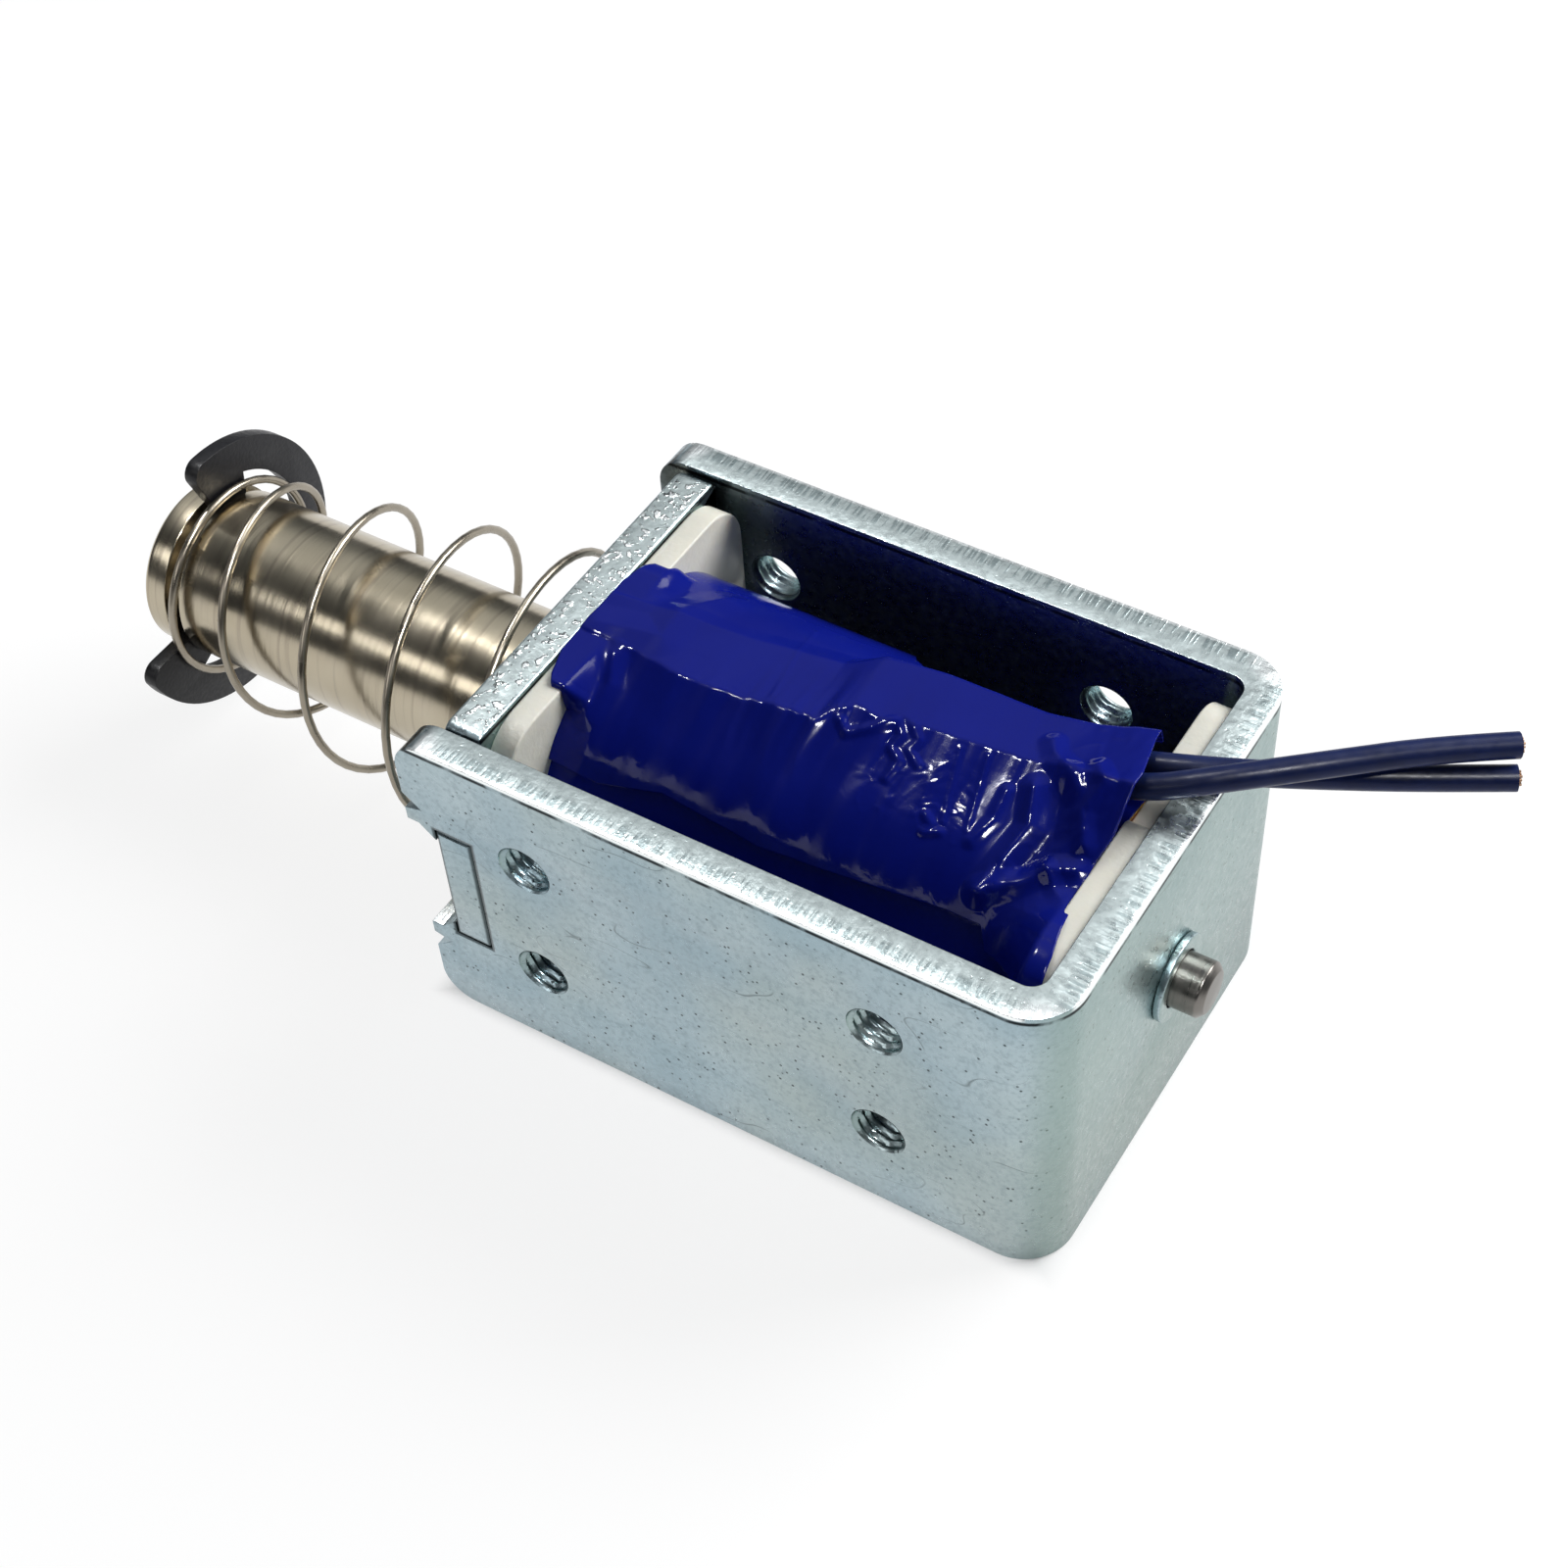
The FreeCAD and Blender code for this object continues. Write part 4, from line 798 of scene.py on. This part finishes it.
def tube_mesh(start, end, radius_at, inner, along=90, around=240):
    """A tube along X whose outer radius, in millimetres, is a function of place and angle."""
    rows = [(start + (end - start) * row / along, radius_at) for row in range(along + 1)]
    rows += [(x, lambda x, angle: inner) for x in (end, start)]
    points = []
    for x, radius_here in rows:
        for step in range(around):
            angle = 2 * math.pi * step / around
            radius = radius_here(x, angle)
            points.append((x, radius * math.cos(angle), AXIS_Z + radius * math.sin(angle)))
    # the last ring of points joins the first one again
    faces = [[corner % len(points) for corner in face] for face in grid_faces(len(rows), around)]
    return mesh_from(points, faces)


def wound_radius(x, angle):
    """The wound layers, which aren't quite true, with a dip under the joints."""
    place = Vector((x / 3.0, math.cos(angle) * 2.2, math.sin(angle) * 2.2))
    radius = TAPE_R - 0.12 + 0.06 * noise.noise(place)
    first, last = TROUGH_EDGES
    across = soft_step((angle - first) / 0.1) * soft_step((last - angle) / 0.1)
    return radius - across * soft_step((x - TROUGH_START) / 0.6) * (radius - TROUGH_R)


new_piece("wound_tape", tube_mesh(COIL_FRONT, COIL_REAR, wound_radius, TAPE_INNER_R), tape_film, "frame",
          ["outer_tape"], sharp=50)

# %% [markdown]
# The last piece of tape was pressed over the joints by hand. It stands up in a ridge along the leads, falls
# flat to the far side, crumples towards the near side, and folds down over the flanges. Cloth simulation
# would wrinkle it at random, so its folds are drawn as lines on the unrolled coil, each with a height and a
# width, and a noise adds the small ones.

# %% Edges and folds of the outer tape
OUTER_R = TAPE_R + 0.2
LAP_START, LAP_END = -15.3, 17.0
FLANGE_HALF_WIDTH, FLANGE_CORNER = span("bobbin", "y")[1], 3.0
FLANGE_HALF_HEIGHT = span("bobbin", "z")[1] - AXIS_Z
# how far the tape's outer side stands off the flange that it laps over
FLANGE_OFF = 0.17


def follow(knots, value):
    """Reads a value off a line of (place, value) knots."""
    places, values = zip(*knots)
    return numpy.interp(value, places, values)


# edges of the piece: degrees round the coil by place along X, and place by degrees
FAR_EDGE = [(-15.3, 34), (-0.8, 36), (0.4, 50), (2.0, 58), (5.1, 60), (8.5, 59.5), (10.2, 62), (11.8, 57),
            (13.6, 56), (14.6, 55), (17, 60)]
NEAR_EDGE = [(-15.3, 140), (-12, 141), (-8, 136), (-1.6, 139), (3.5, 137), (9.6, 134), (11.8, 134),
             (12.4, 140), (17, 141)]
FRONT_EDGE = [(34, -13.85), (58, -13.9), (64, -14.6), (70, -15.2), (78, -15.5), (110, -15.45), (118, -14.9),
              (123, -14.1), (142, -13.8)]
REAR_EDGE = [(34, 15.2), (56, 15.2), (70, 15.6), (84, 16.3), (99, 16.4), (106, 16.1), (115, 16.0),
             (124, 16.4), (132, 16.9), (142, 17.15)]

# the crest that the leads and their joints raise: place, degrees and radius
CREST = [(-15.3, 100, 10.5), (-13, 100, 10.55), (-9, 103, 10.85), (-6.7, 103, 10.9), (-5.0, 102, 10.9),
         (-2.8, 100.2, 10.95), (-0.9, 100.0, 11.0), (-0.3, 95.5, 11.1), (0.5, 92, 11.2), (1.0, 90.4, 11.2),
         (2.0, 92.6, 11.2), (2.7, 92.0, 11.2), (3.3, 89.0, 11.2), (4.1, 90.0, 11.2), (7.2, 88.6, 11.22),
         (10.2, 87.2, 11.3), (12.0, 86.4, 11.5), (13.0, 86.4, 11.8), (14.0, 87, 12.05), (15.0, 88, 12.4),
         (16.0, 88, 12.75), (17, 88, 13.0)]
SHOULDER = [(-15.3, 84, 10.5), (-7, 80, 10.5), (-1.5, 76, 10.7), (0.5, 71, 11.45), (4, 69, 11.6),
            (10, 69, 11.65), (13, 68, 12.0), (14, 67.5, 12.25), (15, 67, 12.55), (16, 67, 12.85),
            (17, 67, 13.05)]

# folds as (height in mm, width in mm, points of (place, degrees))
FOLDS = [
    (0.14, 0.36, [(0.4, 97), (1.0, 99.5), (1.5, 98), (2.2, 95.5), (2.9, 92)]),
    (0.12, 0.34, [(3.2, 91), (3.7, 94), (3.5, 98), (4.3, 101), (4.1, 107)]),
    (0.11, 0.32, [(4.2, 91), (4.7, 93.5), (4.5, 97), (5.3, 100)]),
    (0.12, 0.34, [(6.9, 112), (7.4, 114), (7.2, 117), (8.0, 115)]),
    (0.06, 0.18, [(6.9, 91), (7.9, 112)]),
    (0.06, 0.18, [(8.4, 90), (9.3, 112)]),
    (0.05, 0.16, [(-4.9, 62), (-3.6, 98)]),
    (0.20, 1.5, [(-14.9, 97), (-13.2, 95), (-11.2, 93), (-11.4, 80), (-10.2, 66)]),
    (0.26, 0.9, [(-12.9, 104), (-12.2, 113), (-12.6, 124)]),
    (0.30, 0.8, [(10.9, 79), (11.4, 83), (12.6, 87), (13.6, 91)]),
    (0.40, 0.9, [(11.4, 94), (12.1, 104), (11.7, 115), (11.2, 126)]),
    (0.16, 0.5, [(10.2, 97), (10.3, 106), (9.7, 114)]),
    (0.42, 0.9, [(11.2, 126), (12.8, 120), (14.2, 113), (15.4, 111)]),
    (0.26, 0.7, [(13.9, 84), (14.8, 89), (14.3, 96), (15.2, 104)]),
    (0.22, 0.6, [(14.0, 113), (14.9, 118), (15.6, 120)]),
    (-0.28, 0.9, [(12.9, 93), (13.4, 104), (12.7, 115)]),
]


def fold_rise(x, arc, height, width, points):
    """The rise of one fold over the grid, sharp at its crest, with sides that flare out."""
    nearest = numpy.full(x.shape, 1e9)
    route = [(place, math.radians(degrees) * OUTER_R) for place, degrees in points]
    for (x0, a0), (x1, a1) in zip(route, route[1:]):
        run, lean = x1 - x0, a1 - a0
        share = numpy.clip(((x - x0) * run + (arc - a0) * lean) / (run * run + lean * lean), 0, 1)
        nearest = numpy.minimum(nearest, numpy.hypot(x - x0 - share * run, arc - a0 - share * lean))
    return height * numpy.clip(1 - nearest / width, 0, 1) ** 1.15


print(len(FOLDS), "folds")

# %% [markdown]
# Tape that is pulled over a ridge runs straight from the coil to the ridge's crest and on to its shoulder.
# So each section across the coil is a line with straight runs between a few knots, given as angle and
# radius, and the crest's knot wanders to make its jagged line.

# %% Outer tape
def straight_runs(angle, knots):
    """The radius at an angle on a line with straight runs; knots are (angle, radius), all in radians."""
    radius = numpy.full(angle.shape, OUTER_R)
    for (a0, r0), (a1, r1) in zip(knots, knots[1:]):
        inside = (angle >= a0) & (angle <= a1)
        run = 1 / ((numpy.sin(a1 - angle) / r0 + numpy.sin(angle - a0) / r1) / numpy.sin(a1 - a0))
        radius = numpy.where(inside, run, radius)
    return radius


def section_radius(x, angle):
    """One section of the outer tape, across the coil at one place along it."""
    places, degrees, radii = zip(*CREST)
    wander = 1.5 * noise.noise(Vector((x * 2.0, 3.1, 0.4))) + 1.1 * noise.noise(Vector((x * 5, 1.0, 4.0)))
    jagged = 0.6 * soft_step((x + 6.0) / 0.6) + 0.4 * soft_step((x + 1.2) / 0.6)
    jagged -= 0.85 * soft_step((x - 2.4) / 0.8)
    crest = math.radians(numpy.interp(x, places, degrees) + wander * (0.15 + 0.85 * jagged))
    crest_r = numpy.interp(x, places, radii)
    places, degrees, radii = zip(*SHOULDER)
    shoulder, shoulder_r = math.radians(numpy.interp(x, places, degrees)), numpy.interp(x, places, radii)
    near_foot = crest + math.acos(min(1, OUTER_R / crest_r))
    far_foot = shoulder - math.acos(min(1, OUTER_R / shoulder_r)) * 0.55
    return straight_runs(angle, [(far_foot, OUTER_R), (shoulder, shoulder_r), (crest, crest_r),
                                 (near_foot, OUTER_R)])


def crumple(x, arc, size):
    """Flat facets between straight creases, from 0 to 1, as crumpled film has."""
    height = numpy.zeros(x.shape)
    for turn, scale, shift in ((24, 1.0, 0.1), (81, 0.8, 0.4), (133, 1.2, 0.7)):
        along = x * math.cos(math.radians(turn)) + arc * math.sin(math.radians(turn))
        aside = arc * math.cos(math.radians(turn)) - x * math.sin(math.radians(turn))
        phase = along / (size * scale) + shift + 0.6 * numpy.sin(aside / size * 1.3 + 5 * shift)
        phase += 0.9 * numpy.sin(aside / size * 0.37 + along / size * 0.21 + 9 * shift)
        height += numpy.abs(phase % 1 * 2 - 1) / 3
    return height


def noise_over(x, arc, along, aside, level, lean=0.0):
    """A noise over the grid, with features so many millimetres long and wide; lean slants them."""
    return numpy.array([
        [noise.noise(Vector((place / along + lean * side, side / aside, level))) for place, side in zip(*row)]
        for row in zip(x, arc)])


def softened(grid, rounds):
    """Rounds the creases of a grid: each round blends every point with its neighbours."""
    for _ in range(rounds):
        wide = numpy.pad(grid, 1, mode="edge")
        grid = (wide[:-2, 1:-1] + wide[2:, 1:-1] + wide[1:-1, :-2] + wide[1:-1, 2:] + 4 * grid) / 8
    return grid


def lap_mesh(along=320, across=260):
    """The outer piece of tape, as a curved sheet with free edges."""
    u, v = numpy.meshgrid(numpy.linspace(0, 1, along + 1), numpy.linspace(0, 1, across + 1), indexing="ij")
    rough_x = LAP_START + (LAP_END - LAP_START) * u
    degrees = follow(FAR_EDGE, rough_x) * (1 - v) + follow(NEAR_EDGE, rough_x) * v
    front, rear = follow(FRONT_EDGE, degrees), follow(REAR_EDGE, degrees)
    x = front + (rear - front) * u
    angle = numpy.radians(degrees)
    arc = angle * OUTER_R
    radius = numpy.zeros(x.shape)
    for row in range(along + 1):
        radius[row] = section_radius(float(x[row, across // 2]), angle[row])
    for height, width, points in FOLDS:
        radius += fold_rise(x, arc, height, width, points)
    slow, fine = noise_over(x, arc, 1.8, 6.0, 1.0), noise_over(x, arc, 0.5, 3.0, 9.0)
    # sharp creases, where a noise crosses its middle value
    crease = numpy.maximum(0.0, 1 - 9 * numpy.abs(noise_over(x, arc, 0.9, 1.4, 5.0, lean=0.3)))
    near_side = numpy.clip((degrees - 92) / 10, 0, 1)
    crackled = numpy.clip((x - 2.0) / 1.5, 0, 1) * numpy.clip((10 - x) / 1.5, 0, 1) * near_side
    crackled *= numpy.clip((122 - degrees) / 8, 0, 1)
    flap = numpy.clip((x - 11) / 1.5, 0, 1)
    radius += slow * (0.03 + 0.09 * near_side - 0.04 * flap) + fine * (0.001 + 0.012 * near_side)
    radius += crumple(x, arc, 0.9) * 0.014 * crackled + crumple(x, arc, 2.1) * 0.03 * flap
    radius += crease * (0.026 * crackled + 0.03 * flap)
    flange_top = (FLANGE_HALF_HEIGHT + FLANGE_OFF) / numpy.sin(angle)
    rise = numpy.clip((COIL_FRONT + 1.4 - x) / 1.3, 0, 1) ** 1.5
    rise *= numpy.clip((degrees - 60) / 12, 0, 1) ** 0.7 * numpy.clip((124 - degrees) / 4, 0, 1)
    radius = numpy.maximum(radius, radius + (flange_top - radius) * rise)
    # towards the rear it laps over the near corner of the flange, which is rounded
    corner_y, corner_z = FLANGE_HALF_WIDTH - FLANGE_CORNER, FLANGE_HALF_HEIGHT - FLANGE_CORNER
    ahead = corner_z * numpy.sin(angle) - corner_y * numpy.cos(angle)
    corner = ahead + numpy.sqrt(
        numpy.maximum(ahead ** 2 - corner_y ** 2 - corner_z ** 2 + FLANGE_CORNER ** 2, 0))
    rim = numpy.where(angle > math.atan2(FLANGE_HALF_HEIGHT, -corner_y), corner + FLANGE_OFF, flange_top)
    rise = numpy.clip((x - COIL_REAR + 4.4) / 4.3, 0, 1) ** 2 * numpy.clip((degrees - 108) / 18, 0, 1)
    radius = softened(numpy.maximum(radius, radius + (rim - radius) * rise), 3)
    points = numpy.stack([x, radius * numpy.cos(angle), AXIS_Z + radius * numpy.sin(angle)], axis=-1)
    return mesh_from(points.reshape(-1, 3).tolist(), grid_faces(along, across + 1, loop=False))


outer_tape = new_piece("lapped_outer_tape", lap_mesh(), tape_film, "frame", ["joint_cover"],
                       sharp=80)
thickness = outer_tape.modifiers.new("tape thickness", "SOLIDIFY")
thickness.thickness = 0.12 * MM
thickness.offset = -1.0

# %% [markdown]
# What lies under the tape and in the tube is only seen when the part is taken apart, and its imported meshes
# are right as they are. Each still gets its own finish, because a flat colour would look unfinished in a
# cutaway.

# %% Finishes of the hidden pieces
# drawn brass has lines along the tube, and enamelled copper wire lies in turns 0.3 mm apart
brass = grain_finish("drawn_brass", "#a98745", "#cfae66", (0.23, 0.37), 0.01, (0.3, 3.0),
                     stretch=(0.08, 1.0, 1.0), Metallic=1.0)
copper = grain_finish("enamelled_copper_wire", "#7c3a1c", "#b4652f", (0.25, 0.39), 0.06, (0.3, 3.0),
                      stretch=(1.0, 0.05, 0.05), Metallic=1.0)
film = grain_finish("amber_polyester_film", "#b98f2e", "#d9b65a", (0.15, 0.29), 0.02, (1.5, 3.0), IOR=1.6)
solder = grain_finish("tin_solder", "#a9abad", "#cfd0d1", (0.21, 0.35), 0.03, (0.4, 3.0), Metallic=1.0)
hidden = {
    "guide_tube": brass, "coil_winding": copper, "magnet_wire_start": copper, "magnet_wire_end": copper,
    "inner_wrap": film, "joint_backing": tape_film, "near_lead_solder": solder, "far_lead_solder": solder,
    "near_lead_strands": strand_metal, "far_lead_strands": strand_metal,
}
for node, finish in hidden.items():
    for material_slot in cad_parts[node].material_slots:
        material_slot.material = finish
print(len(hidden), "packed nodes dressed")

# %% [markdown]
# The floor is plain and pale. The camera should see it as white, and so should the metal that mirrors it,
# while it keeps a soft shadow. So it is a plain white diffuse surface for light, and partly a white glow
# for rays that come from the camera or off a mirror. More light would do that too, but it would bleach the
# object. The frame is open below, so the glow stops under it, where a real floor is dark.

# %% Floor
floor_paint = bpy.data.materials.new("white_studio_floor")
floor_paint.use_nodes = True
tree = floor_paint.node_tree
tree.nodes.clear()
ray = add(tree, "LightPath")
seen = ray.outputs["Is Camera Ray"]
for kind in ("Is Glossy Ray", "Is Transmission Ray"):
    seen = add(tree, "Math", MAXIMUM, {0: seen, 1: ray.outputs[kind]})
spot = add(tree, "SeparateXYZ", links={"Vector": add(tree, "NewGeometry").outputs["Position"]})
beside = add(tree, "Math", MAXIMUM, {
    entry: add(tree, "Math", {**MULTIPLY, 1: 1 / (reach * MM)},
               {0: add(tree, "Math", ABSOLUTE, {0: spot.outputs[axis]})})
    for entry, axis, reach in ((0, "X", REAR), (1, "Y", HALF_WIDTH))})
open_floor = add(tree, "MapRange", {**SOFT_STEP, "From Min": 0.9, "From Max": 1.06}, {"Value": beside})
seen = add(tree, "Math", MULTIPLY, {0: seen, 1: open_floor})
paint = add(tree, "BsdfDiffuse", {"Color": linear("#f4f4f4")})
glow = add(tree, "Emission", {"Color": linear("#ffffff"), "Strength": 1.06})
half = add(tree, "MixShader", links={
    0: add(tree, "Math", {**MULTIPLY, 1: 0.8}, {0: seen}), 1: paint, 2: glow})
add(tree, "OutputMaterial", links={"Surface": half})

FLOOR_HALF, FLOOR_DROP = 1500, 0.1
floor = in_scene("floor", mesh_from(
    [(x * FLOOR_HALF, y * FLOOR_HALF, -FLOOR_DROP) for x, y in ((-1, -1), (1, -1), (1, 1), (-1, 1))],
    [[0, 1, 2, 3]]))
floor.data.name = "floor"
floor.data.materials.append(floor_paint)

# %% [markdown]
# The light is that of a light tent: bright from above, dimmer near the horizon, so that curved metal shows
# a dark band between two pale ones. One large softbox to the front left gives the plunger its long
# highlight, one behind lights the far side, and two small lamps set the glints on the tape's folds.

# %% Light
world = bpy.data.worlds.new("light_tent")
bpy.context.scene.world = world
world.use_nodes = True
tree = world.node_tree
tree.nodes.clear()
toward = add(tree, "TexCoord").outputs["Generated"]
parts = add(tree, "SeparateXYZ", links={"Vector": toward})
backward = add(tree, "MapRange", {**SOFT_STEP, "From Min": -0.5, "From Max": 0.6},
               {"Value": add(tree, "Math", {"operation": "MULTIPLY_ADD", 1: 0.35},
                             {0: parts.outputs["Z"], 2: parts.outputs["Y"]})})
sky = add(tree, "Mix", {**COLOURS, "A": linear("#2c2e31"), "B": linear("#75797c")}, {"Factor": backward})
wall = add(tree, "VectorMath", {"operation": "DOT_PRODUCT", 1: Vector((-0.35, 0.47, 0.81)).normalized()},
           {0: toward}).outputs["Value"]
for tint, source, zero, one in (
        # a bright wall behind and to the left, which the upper edges of the sheet mirror
        ("#cfd2d4", wall, 0.82, 0.97),
        ("#34363a", parts.outputs["Z"], 0.4, -0.02),
        # the camera itself sees white beyond the floor
        ("#ffffff", add(tree, "LightPath").outputs["Is Camera Ray"], 0.0, 1.0)):
    sky = add(tree, "Mix", {**COLOURS, "B": linear(tint)}, {
        "A": sky, "Factor": add(tree, "MapRange", {**SOFT_STEP, "From Min": zero, "From Max": one},
                                {"Value": source})})
add(tree, "OutputWorld", links={"Surface": add(tree, "Background", {"Strength": 1.0}, {"Color": sky})})


def softbox(name, direction, distance, size, power):
    """A rectangular lamp that faces the object from one direction; sizes in millimetres, power in watts."""
    lamp = in_scene(name, bpy.data.lights.new(name, "AREA"))
    lamp.data.shape = "RECTANGLE"
    lamp.data.size, lamp.data.size_y = size[0] * MM, size[1] * MM
    lamp.data.energy = power
    toward = Vector(direction).normalized()
    lamp.location = Vector((-8, 0, 10)) * MM + toward * (distance * MM)
    lamp.rotation_euler = (-toward).to_track_quat("-Z", "Y").to_euler()
    return lamp


softbox("front_left_softbox", (-0.35, -0.76, 0.50), 420, (320, 90), 0.24)
softbox("back_right_softbox", (0.44, 0.66, 0.61), 500, (300, 300), 3.2)
# these two are for highlights alone, so they light nothing that is matt
softbox("small_top_lamp", (-0.353, 0.06, 0.934), 500, (50, 50), 1.5).visible_diffuse = False
softbox("small_right_lamp", (0.38, -0.285, 0.88), 500, (50, 50), 2.2).visible_diffuse = False
